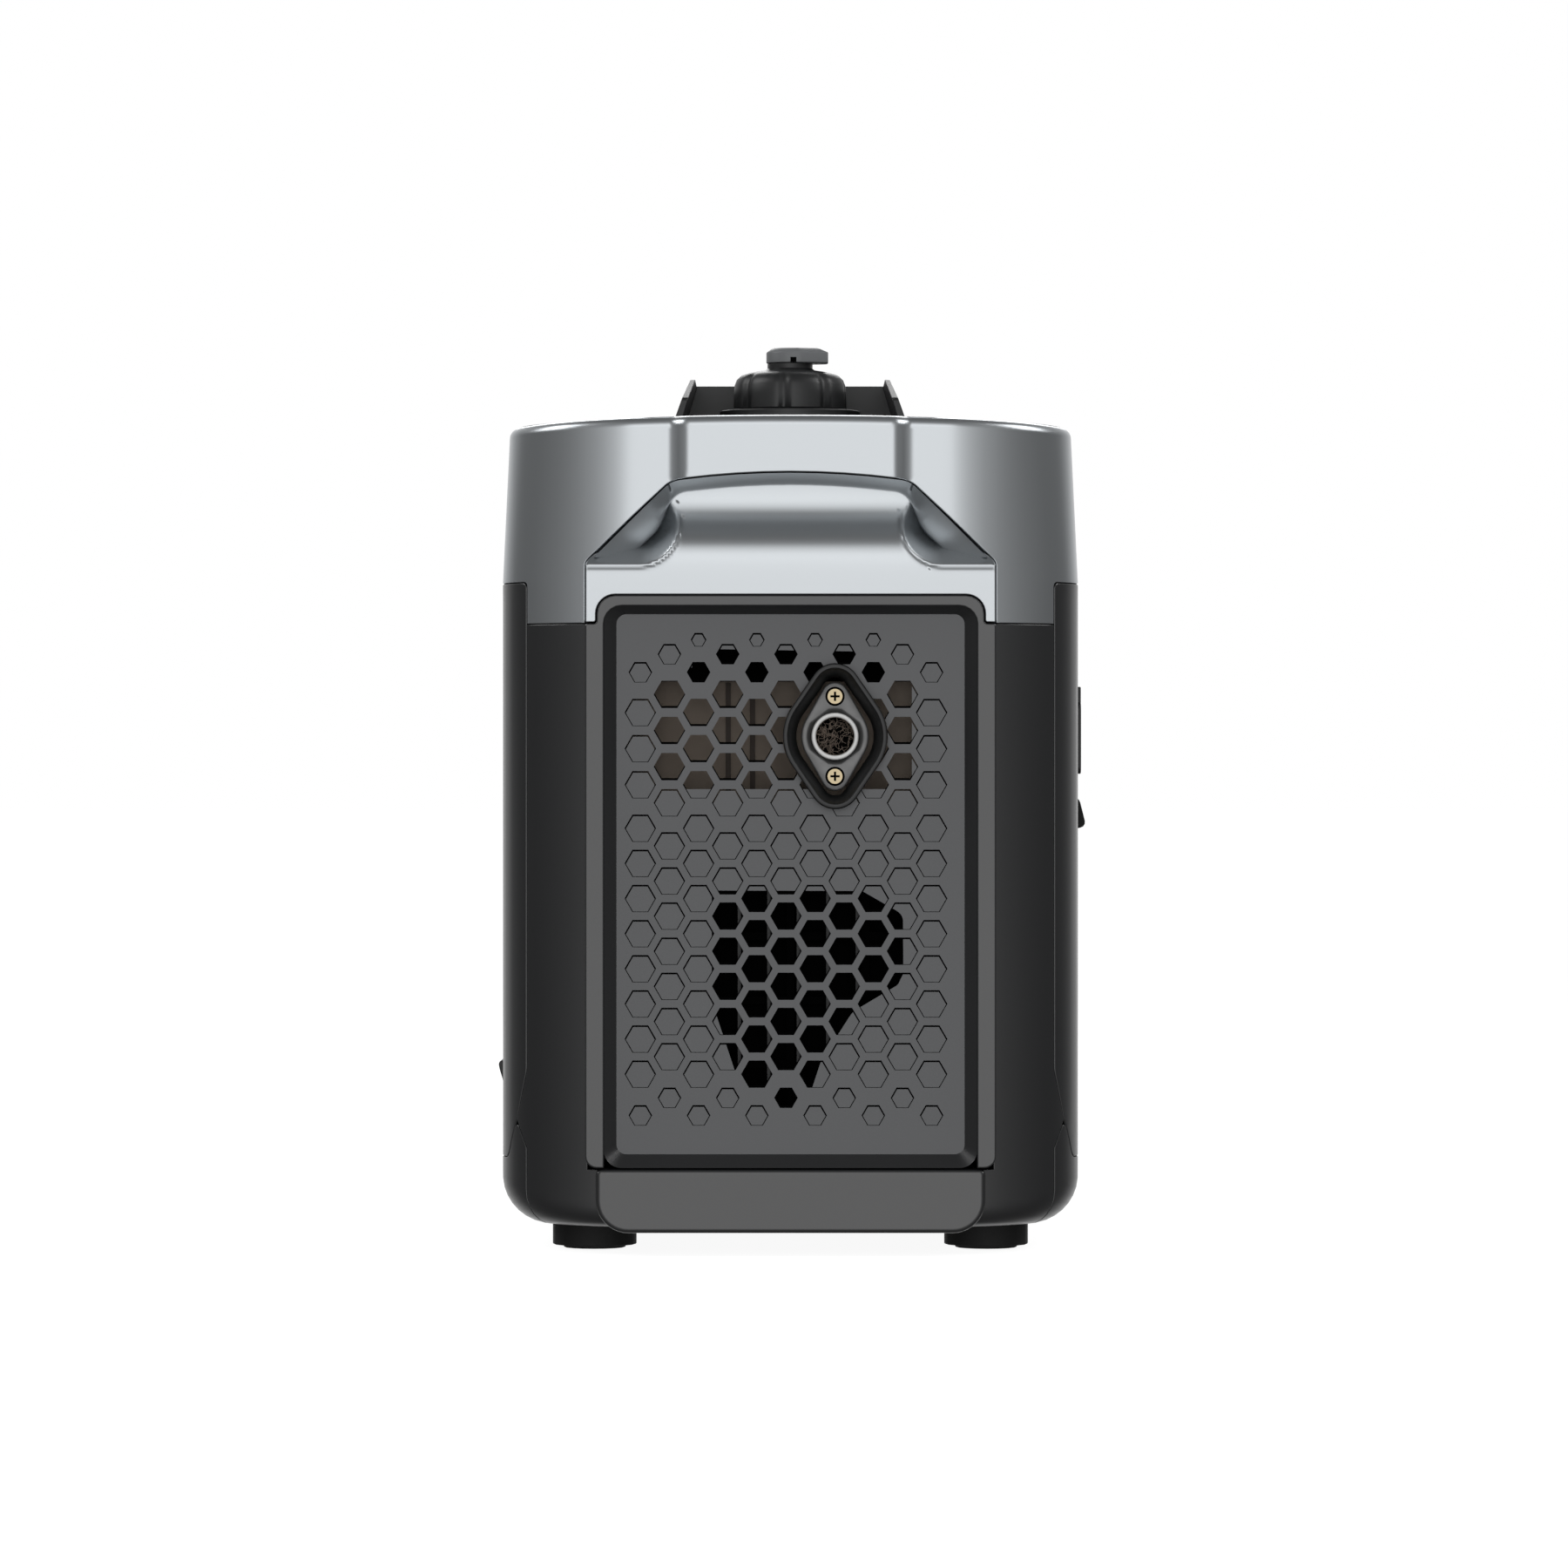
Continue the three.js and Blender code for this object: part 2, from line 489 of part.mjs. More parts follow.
const windows = [UPPER_WINDOW, LOWER_WINDOW].map((outline) => {
  const corners = rounded(outline);
  const upright = THREE.ShapeUtils.area(corners.map(([u, v]) => new THREE.Vector2(u, v))) > 0;
  return prism(upright ? corners : corners.reverse(), 'y', -FAR, 0);
});
const cellPrisms = honeycomb().map(([x, z, radius]) => prism(ring(radius, 6, x, z), 'y', -FAR, 0));
const vents = common(join(...cellPrisms), join(...windows));
const shroudOutline = lozenge(EXHAUST.half, EXHAUST.tall, EXHAUST.tipRadius, EXHAUST.x, EXHAUST.z);
const shroudHole = prism(grow(shroudOutline, GAP), 'y', -FAR, 0);
add('rear_grille', cut(panelTray(), vents, shroudHole), GRILLE);

const shroudFront = -halfLength;
add('exhaust_shroud', prism(
  shroudOutline, 'y', shroudFront, shroudFront + EXHAUST.shroudDepth, [grow(shroudOutline, -EXHAUST.rim)],
), BLACK);

const mufflerFront = -halfLength + MUFFLER.setback;
const mufflerBack = mufflerFront + MUFFLER.depth;
const mufflerOutline = box2(
  MUFFLER.x - MUFFLER.width / 2, MUFFLER.x + MUFFLER.width / 2, MUFFLER.low, MUFFLER.high, MUFFLER.edge,
);
const flangeFront = -halfLength + EXHAUST.flangeInset;
const flangeBack = flangeFront + EXHAUST.flangePlate;
const pipeFront = flangeFront - EXHAUST.pipeProud;
const portZ = ENGINE.axis + ENGINE.half + CYLINDER.height + CYLINDER.headHeight / 2;
const engineRear = -ENGINE.near - ENGINE.depth;
const mufflerSeam = prism(grow(mufflerOutline, 3), 'y', (mufflerFront + mufflerBack) / 2 - 2, (mufflerFront + mufflerBack) / 2);
add('muffler', cut(
  join(
    prism(mufflerOutline, 'y', mufflerFront, mufflerBack),
    mufflerSeam,
    prism(ring(EXHAUST.pipeRadius, 20, EXHAUST.x, EXHAUST.z), 'y', pipeFront, mufflerFront),
    prism(ring(EXHAUST.pipeRadius, 16, ENGINE.x, MUFFLER.high - EXHAUST.pipeRadius - GAP), 'y', mufflerBack, engineRear - GAP),
  ),
  prism(ring(EXHAUST.bore, 20, EXHAUST.x, EXHAUST.z), 'y', -FAR, mufflerFront + MUFFLER.edge),
), HOT_STEEL);
const flangeOutline = lozenge(EXHAUST.flangeHalf, EXHAUST.flangeTall, EXHAUST.flangeTip, EXHAUST.x, EXHAUST.z);
add('exhaust_flange', prism(
  flangeOutline, 'y', flangeFront, flangeBack, [ring(EXHAUST.pipeRadius + GAP, 20, EXHAUST.x, EXHAUST.z)],
), STEEL);
const arresterFront = pipeFront + 1;
const arrester = add('spark_arrester', prism(
  ring(EXHAUST.bore - GAP, 20), 'y', arresterFront, arresterFront + EXHAUST.arresterDepth,
), HOT_STEEL);
arrester.position.set(EXHAUST.x, 0, EXHAUST.z);
for (const [name, sign] of [['exhaust_screw_upper', 1], ['exhaust_screw_lower', -1]]) {
  const screw = add(name, prism(
    ring(EXHAUST.screwHead, 16), 'y', flangeFront - GAP - EXHAUST.screwProud, flangeFront - GAP,
  ), BRASSY);
  screw.position.set(EXHAUST.x, 0, EXHAUST.z + sign * EXHAUST.screwRise);
}

// The black lattice that guides cooling air out behind the lower window.
const ductFront = -halfLength + DUCT.setback;
const ductCells = [];
const cellWide = (2 * DUCT.half - DUCT.bar * (DUCT.columns + 1)) / DUCT.columns;
const cellTall = (DUCT.high - DUCT.low - DUCT.bar * (DUCT.rows + 1)) / DUCT.rows;
for (let column = 0; column < DUCT.columns; column += 1) {
  for (let row = 0; row < DUCT.rows; row += 1) {
    const left = -DUCT.half + DUCT.bar + column * (cellWide + DUCT.bar);
    const low = DUCT.low + DUCT.bar + row * (cellTall + DUCT.bar);
    ductCells.push(block(left, left + cellWide, -FAR, 0, low, low + cellTall));
  }
}
add('cooling_duct', cut(
  block(-DUCT.half, DUCT.half, ductFront, ductFront + DUCT.plate, DUCT.low, DUCT.high), ...ductCells,
), BLACK);

// ---------------------------------------------------------------- engine

const engineFront = -ENGINE.near;
const crankcaseTop = ENGINE.axis + ENGINE.half;
const cylinderY = (engineRear + engineFront) / 2;
const cavity = block(
  ENGINE.x - ENGINE.half + ENGINE.wall, ENGINE.x + ENGINE.half - ENGINE.wall,
  engineRear + ENGINE.wall, engineFront - ENGINE.wall,
  ENGINE.axis - ENGINE.half + ENGINE.wall, crankcaseTop - ENGINE.wall,
);
const crankBore = (radius) => prism(ring(radius, 16, ENGINE.x, ENGINE.axis), 'y', -FAR, FAR);
const cylinderBore = (radius, low, high) => prism(ring(radius, 20, ENGINE.x, cylinderY), 'z', low, high);
const crankcaseOutline = box2(
  ENGINE.x - ENGINE.half, ENGINE.x + ENGINE.half, ENGINE.axis - ENGINE.half, crankcaseTop, ENGINE.wall,
);
const skidHeight = ENGINE.axis - ENGINE.half + ENGINE.wall;
const skids = [engineRear + ENGINE.wall, engineFront - 2 * ENGINE.wall].map((y) => block(
  ENGINE.x - ENGINE.half, ENGINE.x + ENGINE.half, y, y + ENGINE.wall,
  BODY.floor + BODY.wall + GAP, skidHeight,
));
add('crankcase', cut(
  join(prism(crankcaseOutline, 'y', engineRear, engineFront), ...skids),
  cavity, crankBore(SHAFT.radius + GAP), cylinderBore(CYLINDER.bore + GAP, ENGINE.axis, FAR),
), CASTING);

// A square finned block around the cylinder, from one level to another.
function finned(low, high) {
  const fins = [];
  for (let z = low; z + CYLINDER.finPlate <= high; z += CYLINDER.finStep) {
    fins.push(prism(box2(
      ENGINE.x - CYLINDER.fin, ENGINE.x + CYLINDER.fin, cylinderY - CYLINDER.fin, cylinderY + CYLINDER.fin,
    ), 'z', z, z + CYLINDER.finPlate));
  }
  return join(prism(ring(CYLINDER.core, 16, ENGINE.x, cylinderY), 'z', low, high), ...fins);
}
const cylinderLow = crankcaseTop + GAP;
const headLow = cylinderLow + CYLINDER.height + GAP;
const headTop = headLow + CYLINDER.headHeight;
add('cylinder', cut(finned(cylinderLow, cylinderLow + CYLINDER.height), cylinderBore(CYLINDER.bore, 0, FAR)), CASTING);
add('cylinder_head', cut(
  finned(headLow, headTop),
  prism(ring(PLUG.radius + GAP, 16, cylinderY, headLow + PLUG.rise), 'x', -FAR, ENGINE.x - CYLINDER.core + PLUG.length / 2),
), CASTING);

// The piston rests at the bottom of its stroke.
const pistonLow = ENGINE.axis + SHAFT.webRadius + SHAFT.webDrop + 2 * GAP;
add('piston', cut(
  cylinderBore(CYLINDER.bore - GAP, pistonLow, pistonLow + PISTON.height),
  cylinderBore(CYLINDER.bore - GAP - PISTON.wall, 0, pistonLow + PISTON.height - PISTON.crownPlate),
), CASTING);

const webY = [cylinderY - SHAFT.webWidth - SHAFT.webSpread, cylinderY + SHAFT.webSpread];
const web = (y) => prism(
  lozenge(SHAFT.pinRadius + 10, SHAFT.webRadius, SHAFT.pinRadius + 4, ENGINE.x, ENGINE.axis - SHAFT.webDrop), 'y', y, y + SHAFT.webWidth,
);
const shaftEnd = RECOIL.ropeY - RECOIL.pulleyWidth / 2 - GAP - SHAFT.pulleyEnd;
add('crankshaft', join(
  prism(ring(SHAFT.radius, 16, ENGINE.x, ENGINE.axis), 'y', engineRear - 4, webY[0] + 1),
  web(webY[0]),
  prism(ring(SHAFT.pinRadius, 12, ENGINE.x, ENGINE.axis - SHAFT.throw), 'y', webY[0] + 1, webY[1] + 1),
  web(webY[1]),
  prism(ring(SHAFT.radius, 16, ENGINE.x, ENGINE.axis), 'y', webY[1] + 1, shaftEnd),
), STEEL);

const plugStart = ENGINE.x - CYLINDER.core + PLUG.length / 2 - GAP;
const plugEnd = plugStart - PLUG.length;
const plug = add('spark_plug', join(
  prism(ring(PLUG.radius, 16), 'x', plugEnd, plugStart),
  prism(ring(PLUG.radius + 3, 6), 'x', ENGINE.x - CYLINDER.fin - 6, ENGINE.x - CYLINDER.fin - GAP),
), STEEL);
const boot = add('spark_plug_boot', cut(
  prism(ring(PLUG.bootRadius, 16), 'x', plugEnd - PLUG.bootLength / 2, plugEnd + PLUG.bootLength / 2 - 10),
  prism(ring(PLUG.radius + GAP, 16), 'x', plugEnd - GAP, FAR),
), RUBBER);
for (const piece of [plug, boot]) piece.position.set(0, cylinderY, headLow + PLUG.rise);

const oilZ = ENGINE.axis - OIL_CAP.drop;
const oilCap = add('oil_filler_cap', cut(
  prism(ring(OIL_CAP.radius, 20), 'x', -OIL_CAP.depth, 0),
  ...[-1, 1].map((side) => block(
    -OIL_CAP.depth - 1, -OIL_CAP.depth / 2,
    side > 0 ? 3 : -OIL_CAP.radius - 1, side > 0 ? OIL_CAP.radius + 1 : -3, -OIL_CAP.radius, OIL_CAP.radius,
  )),
), BLACK);
oilCap.position.set(ENGINE.x - ENGINE.half - GAP, cylinderY, oilZ);

// ---------------------------------------------------------------- alternator, fan and recoil starter

const statorY = engineFront + ALTERNATOR.standoff;
const rotorPlateY = statorY + ALTERNATOR.length;
const statorOutline = [];
const TEETH = 9;
for (let tooth = 0; tooth < TEETH; tooth += 1) {
  for (const [turnShare, radius] of [[-0.3, 0.62], [-0.3, 0.92], [-0.44, 0.92], [-0.44, 1], [0.44, 1], [0.44, 0.92], [0.3, 0.92], [0.3, 0.62]]) {
    const angle = ((tooth + turnShare) / TEETH) * 2 * Math.PI;
    statorOutline.push([
      ENGINE.x + ALTERNATOR.stator * radius * Math.cos(angle), ENGINE.axis + ALTERNATOR.stator * radius * Math.sin(angle),
    ]);
  }
}
add('alternator_stator', cut(
  prism(statorOutline, 'y', statorY, rotorPlateY - 2 * GAP - 3), crankBore(SHAFT.radius + 4),
), COPPER);
const rotorBack = rotorPlateY + ALTERNATOR.rotorWall;
add('alternator_rotor', cut(
  prism(ring(ALTERNATOR.rotor, 28, ENGINE.x, ENGINE.axis), 'y', statorY + 1, rotorBack),
  prism(ring(ALTERNATOR.rotor - ALTERNATOR.rotorWall, 28, ENGINE.x, ENGINE.axis), 'y', -FAR, rotorPlateY),
  crankBore(SHAFT.radius + GAP),
), STEEL);
const fanBack = rotorBack + GAP;
const blade = prism(box2(FAN.hub - 2, FAN.radius - 2, -1.5, 1.5), 'y', fanBack, fanBack + FAN.width);
const blades = Array.from({ length: FAN.blades }, (_, k) => blade.rotate([0, (k * 360) / FAN.blades, 0]));
const fan = add('cooling_fan', cut(
  join(
    prism(ring(FAN.radius, 28), 'y', fanBack, fanBack + FAN.plate),
    prism(ring(FAN.hub, 16), 'y', fanBack, fanBack + FAN.width), ...blades,
  ),
  prism(ring(SHAFT.radius + GAP, 16), 'y', -FAR, FAR),
), BLACK);
fan.position.set(ENGINE.x, 0, ENGINE.axis);

const housingFront = RECOIL.ropeY + RECOIL.pulleyWidth / 2 + GAP + RECOIL.wall;
const housingRear = housingFront - RECOIL.depth;
add('recoil_housing', cut(
  prism(ring(RECOIL.housing, 28, ENGINE.x, ENGINE.axis), 'y', housingRear, housingFront),
  prism(ring(RECOIL.housing - RECOIL.wall, 28, ENGINE.x, ENGINE.axis), 'y', -FAR, housingFront - RECOIL.wall),
  prism(ring(GRIP.stem + 2, 12, RECOIL.ropeY, gripZ), 'x', ENGINE.x, FAR),
  ...Array.from({ length: 6 }, (_, k) => {
    const angle = ((k + 0.5) * Math.PI) / 3;
    return prism(ring(14, 8, ENGINE.x + 70 * Math.cos(angle), ENGINE.axis + 70 * Math.sin(angle)), 'y', -FAR, FAR);
  }),
), BLACK);
const pulleyLow = RECOIL.ropeY - RECOIL.pulleyWidth / 2;
const pulleyHigh = RECOIL.ropeY + RECOIL.pulleyWidth / 2;
const pulley = add('recoil_pulley', turned([
  [0, pulleyLow], [RECOIL.pulley + RECOIL.groove, pulleyLow], [RECOIL.pulley + RECOIL.groove, pulleyLow + 3],
  [RECOIL.pulley, pulleyLow + 5], [RECOIL.pulley, pulleyHigh - 5], [RECOIL.pulley + RECOIL.groove, pulleyHigh - 3],
  [RECOIL.pulley + RECOIL.groove, pulleyHigh], [0, pulleyHigh],
], 20), BLACK);
pulley.rotation.x = -Math.PI / 2;
pulley.position.set(ENGINE.x, 0, ENGINE.axis);

const guideBack = halfWidth - BODY.wall - 4;
const guideFace = halfWidth + GAP + GRIP.guideProud;
add('rope_guide', cut(
  join(
    prism(ring(GRIP.guide - 2, 16, RECOIL.ropeY, gripZ), 'x', guideBack, guideFace - 0.5),
    prism(ring(GRIP.guide, 16, RECOIL.ropeY, gripZ), 'x', halfWidth + GAP, guideFace),
  ),
  prism(ring(GRIP.stem + 1, 12, RECOIL.ropeY, gripZ), 'x', -FAR, FAR),
), BLACK);
const gripBack = guideFace + GAP;
const gripOutline = rounded([
  [gripBack, gripZ - GRIP.height / 2, 1], [gripBack + GRIP.reach, gripZ - GRIP.height / 2 + 2, 3],
  [gripBack + GRIP.reach - 4, gripZ + GRIP.height / 2, 4], [gripBack, gripZ + GRIP.height / 2, 1],
], 3);
add('recoil_grip', join(
  prism(gripOutline, 'y', RECOIL.ropeY - GRIP.length / 2, RECOIL.ropeY + GRIP.length / 2),
  prism(ring(GRIP.stem, 12, RECOIL.ropeY, gripZ), 'x', guideBack - 6, gripBack + 1),
), RUBBER);

// The engine switch on the starter side, turned by a bar across its face.
const dialBack = halfWidth + GAP;
const dial = add('engine_dial', join(
  prism(ring(DIAL.radius, 24), 'x', dialBack, dialBack + DIAL.depth / 2),
  prism(box2(-DIAL.bar, DIAL.bar, -DIAL.radius + 2, DIAL.radius - 2, 4, 3), 'x', dialBack, dialBack + DIAL.depth),
  prism(box2(-DIAL.bar / 2, DIAL.bar / 2, DIAL.radius - 3, DIAL.radius + DIAL.pointer), 'x', dialBack, dialBack + DIAL.depth),
  prism(ring(DIAL.stem, 16), 'x', dialBack - BODY.wall - 8, dialBack + 1),
), BLACK);
dial.position.set(0, DIAL.y, DIAL.z);

// ---------------------------------------------------------------- fuel system

const carbRear = cylinderY + CYLINDER.fin + GAP;
const airboxRear = carbRear + 2 * CARBURETTOR.throat + 20 + GAP;
const carbMid = headLow + CYLINDER.headHeight / 2 - 5;
add('carburettor', cut(
  join(
    block(
      ENGINE.x - CARBURETTOR.width / 2, ENGINE.x + CARBURETTOR.width / 2, carbRear, airboxRear - GAP,
      carbMid - CARBURETTOR.height / 2, carbMid + CARBURETTOR.height / 2,
    ),
    prism(ring(13, 16, ENGINE.x, (carbRear + airboxRear) / 2), 'z', carbMid - CARBURETTOR.height / 2 - 12, carbMid),
  ),
  prism(ring(CARBURETTOR.throat, 16, ENGINE.x, carbMid), 'y', -FAR, FAR),
), CASTING);
const airboxTop = TANK.low - 4;
const airboxLow = airboxTop - AIRBOX.height;
const airboxOutline = box2(
  ENGINE.x - AIRBOX.width / 2, ENGINE.x + AIRBOX.width / 2, airboxRear, airboxRear + AIRBOX.length, 14,
);
add('air_filter_box', cut(
  prism(airboxOutline, 'z', airboxLow, airboxTop),
  prism(grow(airboxOutline, -AIRBOX.wall), 'z', airboxLow + AIRBOX.wall, airboxTop - AIRBOX.wall),
  prism(ring(CARBURETTOR.throat, 16, ENGINE.x, carbMid), 'y', airboxRear - 1, airboxRear + AIRBOX.wall + 1),
), BLACK);

const tankOutline = (inset) => box2(
  -TANK.width / 2 + inset, TANK.width / 2 - inset,
  TANK.shift - TANK.length / 2 + inset, TANK.shift + TANK.length / 2 - inset, TANK.edge - inset,
);
add('fuel_tank', cut(
  join(
    prism(tankOutline(0), 'z', TANK.low, TANK.high),
    prism(ring(TANK.neck, 24), 'z', TANK.high - 1, TANK.neckTop),
  ),
  prism(tankOutline(TANK.wall), 'z', TANK.low + TANK.wall, TANK.high - TANK.wall),
  prism(ring(TANK.neck - TANK.wall, 24), 'z', TANK.high - TANK.wall - 1, FAR),
), BLACK);
const hoseRadius = 4;
const hoseTop = TANK.low - GAP;
const carbSide = ENGINE.x - CARBURETTOR.width / 2 - GAP;
const hoseY = (carbRear + airboxRear) / 2;
add('fuel_hose', hose([
  [carbSide - 30, hoseY, hoseTop], [carbSide - 30, hoseY, hoseTop - 8], [carbSide - 24, hoseY, carbMid + 2],
  [carbSide - 10, hoseY, carbMid], [carbSide, hoseY, carbMid],
], hoseRadius, 12), RUBBER);

const coilX = ENGINE.x - ALTERNATOR.rotor - 6;
const coilTop = ENGINE.axis + 18;
add('ignition_coil', block(coilX - 24, coilX, statorY + 4, statorY + 28, ENGINE.axis - 18, coilTop), BLACK);
const leadStart = [coilX - 12, statorY + 16, coilTop + GAP];
const leadEnd = [plugEnd - PLUG.bootLength / 2 - GAP, cylinderY, headLow + PLUG.rise];
add('ignition_lead', hose([
  leadStart, [leadStart[0], leadStart[1], leadStart[2] + 16],
  [(leadStart[0] + leadEnd[0]) / 2 - 14, (leadStart[1] + leadEnd[1]) / 2, (leadStart[2] + leadEnd[2]) / 2],
  [leadEnd[0] - 14, leadEnd[1], leadEnd[2]], [leadEnd[0] - 5, leadEnd[1], leadEnd[2]], leadEnd,
], 3.5, 14), RUBBER);

add('filler_ring', cut(
  prism(ring(FILLER.ringOuter, 24), 'z', BODY.top + GUARD.floor + 2 * GAP, FILLER.ringTop),
  prism(ring(FILLER.ringInner, 24), 'z', 0, FAR),
), SILVER);

// The guard around the filler cap: two sloping wings and a far wall on a thin floor.
const guardLow = BODY.top + GAP;
const guardOutline = (inset) => [
  [-GUARD.footHalf + inset, guardLow], [GUARD.footHalf - inset, guardLow],
  [GUARD.topHalf - inset, GUARD.top], [-GUARD.topHalf + inset, GUARD.top],
];
const guardSide = rounded([
  [-GUARD.front, guardLow], [GUARD.back, guardLow], [GUARD.back, GUARD.top, 3],
  [-GUARD.front / 3, GUARD.top, 6], [-GUARD.front, GUARD.frontTop, 3],
]);
const guardInner = grow([
  [-GUARD.footHalf, guardLow - GUARD.wall], [GUARD.footHalf, guardLow - GUARD.wall],
  [GUARD.topHalf, GUARD.top + GUARD.wall], [-GUARD.topHalf, GUARD.top + GUARD.wall],
], -GUARD.wall);
add('cap_guard', cut(
  join(
    cut(
      common(prism(guardOutline(0), 'y', -FAR, FAR), prism(guardSide, 'x', -FAR, FAR)),
      prism(guardInner, 'y', -FAR, GUARD.back - GUARD.wall),
    ),
    block(-GUARD.footHalf, GUARD.footHalf, -GUARD.front, GUARD.back, guardLow, guardLow + GUARD.floor),
  ),
  prism(ring(FILLER.ringInner, 24), 'z', 0, FAR),
), BLACK);

// The fluted cap: round lobes with narrow grooves between them.
const lobeSteps = 4;
const capOutline = (radius) => Array.from({ length: CAP.lobes * lobeSteps }, (_, k) => {
  const phase = (k % lobeSteps) / lobeSteps;
  const angle = ((k + lobeSteps / 2) / (CAP.lobes * lobeSteps)) * 2 * Math.PI;
  const reach = radius - (phase === 0 ? CAP.lobeDepth : 0);
  return [reach * Math.cos(angle), reach * Math.sin(angle)];
});
const filler = new THREE.Group();
part.add(filler);
const capInside = TANK.neck + 2 * GAP;
add('fuel_cap', cut(
  join(
    prism(capOutline(CAP.radius), 'z', CAP.low, CAP.skirtTop),
    prism(capOutline(CAP.radius - 3), 'z', CAP.skirtTop - 1, CAP.shoulder),
    prism(ring(CAP.boss, 20), 'z', CAP.shoulder - 1, CAP.bossTop),
  ),
  prism(ring(capInside, 24), 'z', 0, TANK.neckTop + 2 * GAP),
), BLACK, filler);
const knobLow = CAP.bossTop + GAP;
add('vent_knob', join(
  prism(ring(CAP.knob, 20), 'z', knobLow, CAP.knobTop),
  prism(box2(0, CAP.tail, -CAP.tailHalf, CAP.tailHalf, 3, 3), 'z', knobLow, CAP.knobTop - 2),
), SILVER, filler);

// ---------------------------------------------------------------- maintenance door

add('maintenance_door', prism(doorOutline(), 'x', -halfWidth, -halfWidth + BODY.wall), SHELL);
const latchFace = -halfWidth - GAP;
const latchOutline = rounded([
  [latchFace - LATCH.toe, LATCH.low], [latchFace, LATCH.low], [latchFace, LATCH.high],
  [latchFace - LATCH.reach, LATCH.high, 2], [latchFace - LATCH.reach + 1, LATCH.high - 5, 2],
]);
add('door_latch', prism(latchOutline, 'y', DOOR.y - LATCH.width / 2, DOOR.y + LATCH.width / 2), BLACK);

// ---------------------------------------------------------------- inverter and control panel

const inverterFace = halfLength - INVERTER.standback;
const finPitch = (INVERTER.width - INVERTER.finPlate) / (INVERTER.fins - 1);
const fins = Array.from({ length: INVERTER.fins }, (_, k) => block(
  -INVERTER.width / 2 + k * finPitch, -INVERTER.width / 2 + k * finPitch + INVERTER.finPlate,
  inverterFace - INVERTER.plate - INVERTER.finDepth, inverterFace - INVERTER.plate + 1, INVERTER.low, INVERTER.high,
));
add('inverter_module', join(block(
  -INVERTER.width / 2, INVERTER.width / 2, inverterFace - INVERTER.plate, inverterFace, INVERTER.low, INVERTER.high,
), ...fins), CASTING);

// Pieces of the control panel are drawn with their face at y = 0 and their back at negative y.
const panelPiece = (name, solid, material, x, z) => {
  const mesh = add(name, solid, material);
  mesh.position.set(x, panelFace, z);
  return mesh;
};
const outletOutline = box2(-OUTLET.size / 2, OUTLET.size / 2, -OUTLET.size / 2, OUTLET.size / 2, OUTLET.edge);
const displayOutline = box2(-DISPLAY.width / 2, DISPLAY.width / 2, -DISPLAY.height / 2, DISPLAY.height / 2, 4);
const switchOutline = box2(-SWITCH.width / 2, SWITCH.width / 2, -SWITCH.height / 2, SWITCH.height / 2, 2);
const at = (outline, x, z) => outline.map(([u, v]) => [u + x, v + z]);
const panelHoles = [
  at(outletOutline, -OUTLET.x, OUTLET.z), at(outletOutline, OUTLET.x, OUTLET.z), at(displayOutline, 0, DISPLAY.z),
  at(switchOutline, SWITCH.x, SWITCH.z), ring(PORT.radius, 24, PORT.x, PORT.z),
  ring(BUTTON.radius, 20, BUTTON.resetX, BUTTON.z), ring(BUTTON.radius, 20, BUTTON.breakerX, BUTTON.z),
  ring(TERMINAL.radius, 12, TERMINAL.x, TERMINAL.z),
].map((outline) => prism(grow(outline, GAP), 'y', 0, FAR));
add('control_panel', cut(toFront(panelTray()), ...panelHoles), GRILLE);

for (const [name, sign] of [['ac_outlet_left', -1], ['ac_outlet_right', 1]]) {
  const slots = [-OUTLET.spread, OUTLET.spread].map((x) => prism(
    box2(x - OUTLET.pin / 2, x + OUTLET.pin / 2, 0, 10), 'y', -OUTLET.hole, FAR,
  ));
  panelPiece(name, cut(
    prism(outletOutline, 'y', -OUTLET.depth, OUTLET.proud),
    ...slots, prism(ring(OUTLET.pin, 12, 0, -10), 'y', -OUTLET.hole, FAR),
  ), BLACK, sign * OUTLET.x, OUTLET.z);
}
panelPiece('status_display', prism(displayOutline, 'y', -DISPLAY.depth, DISPLAY.proud), CLEAR_GREY, 0, DISPLAY.z);
panelPiece('dc_port', cut(
  prism(ring(PORT.radius, 24), 'y', -PORT.depth, 0),
  prism(ring(PORT.bore, 16), 'y', -PORT.boreDepth, FAR),
), BLACK, PORT.x, PORT.z);
panelPiece('dc_port_cover', prism(
  box2(-PORT.flapHalf, PORT.flapHalf, -PORT.flapHalf, PORT.flapHalf, 5), 'y', GAP, GAP + PORT.flapPlate,
), RUBBER, PORT.x, PORT.z);
const rocker = rounded([
  [-SWITCH.depth, -SWITCH.height / 4], [SWITCH.proud - 1.5, -SWITCH.height / 2 + 2, 1],
  [SWITCH.proud, SWITCH.height / 2 - 2, 1], [-SWITCH.depth, SWITCH.height / 4],
]);
panelPiece('eco_switch', prism(
  rocker, 'x', -SWITCH.width / 2 + 2, SWITCH.width / 2 - 2,
), BLACK, SWITCH.x, SWITCH.z);
for (const [name, x] of [['reset_button', BUTTON.resetX], ['breaker_button', BUTTON.breakerX]]) {
  panelPiece(name, prism(ring(BUTTON.radius, 20), 'y', -BUTTON.depth, BUTTON.proud), RUBBER, x, BUTTON.z);
}
panelPiece('ground_terminal', join(
  prism(ring(TERMINAL.radius, 12), 'y', -TERMINAL.depth, GAP + 1),
  prism(ring(TERMINAL.head, 6), 'y', GAP, GAP + TERMINAL.proud),
), BRASSY, TERMINAL.x, TERMINAL.z);

export default part;
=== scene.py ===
"""An enclosed inverter generator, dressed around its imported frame.

Sizes are in millimetres until a mesh is written. The exhaust end faces -Y, the control panel +Y and the
recoil starter +X. Every shell piece is a skin: a flat outline with rounded edges laid on a surface.
"""

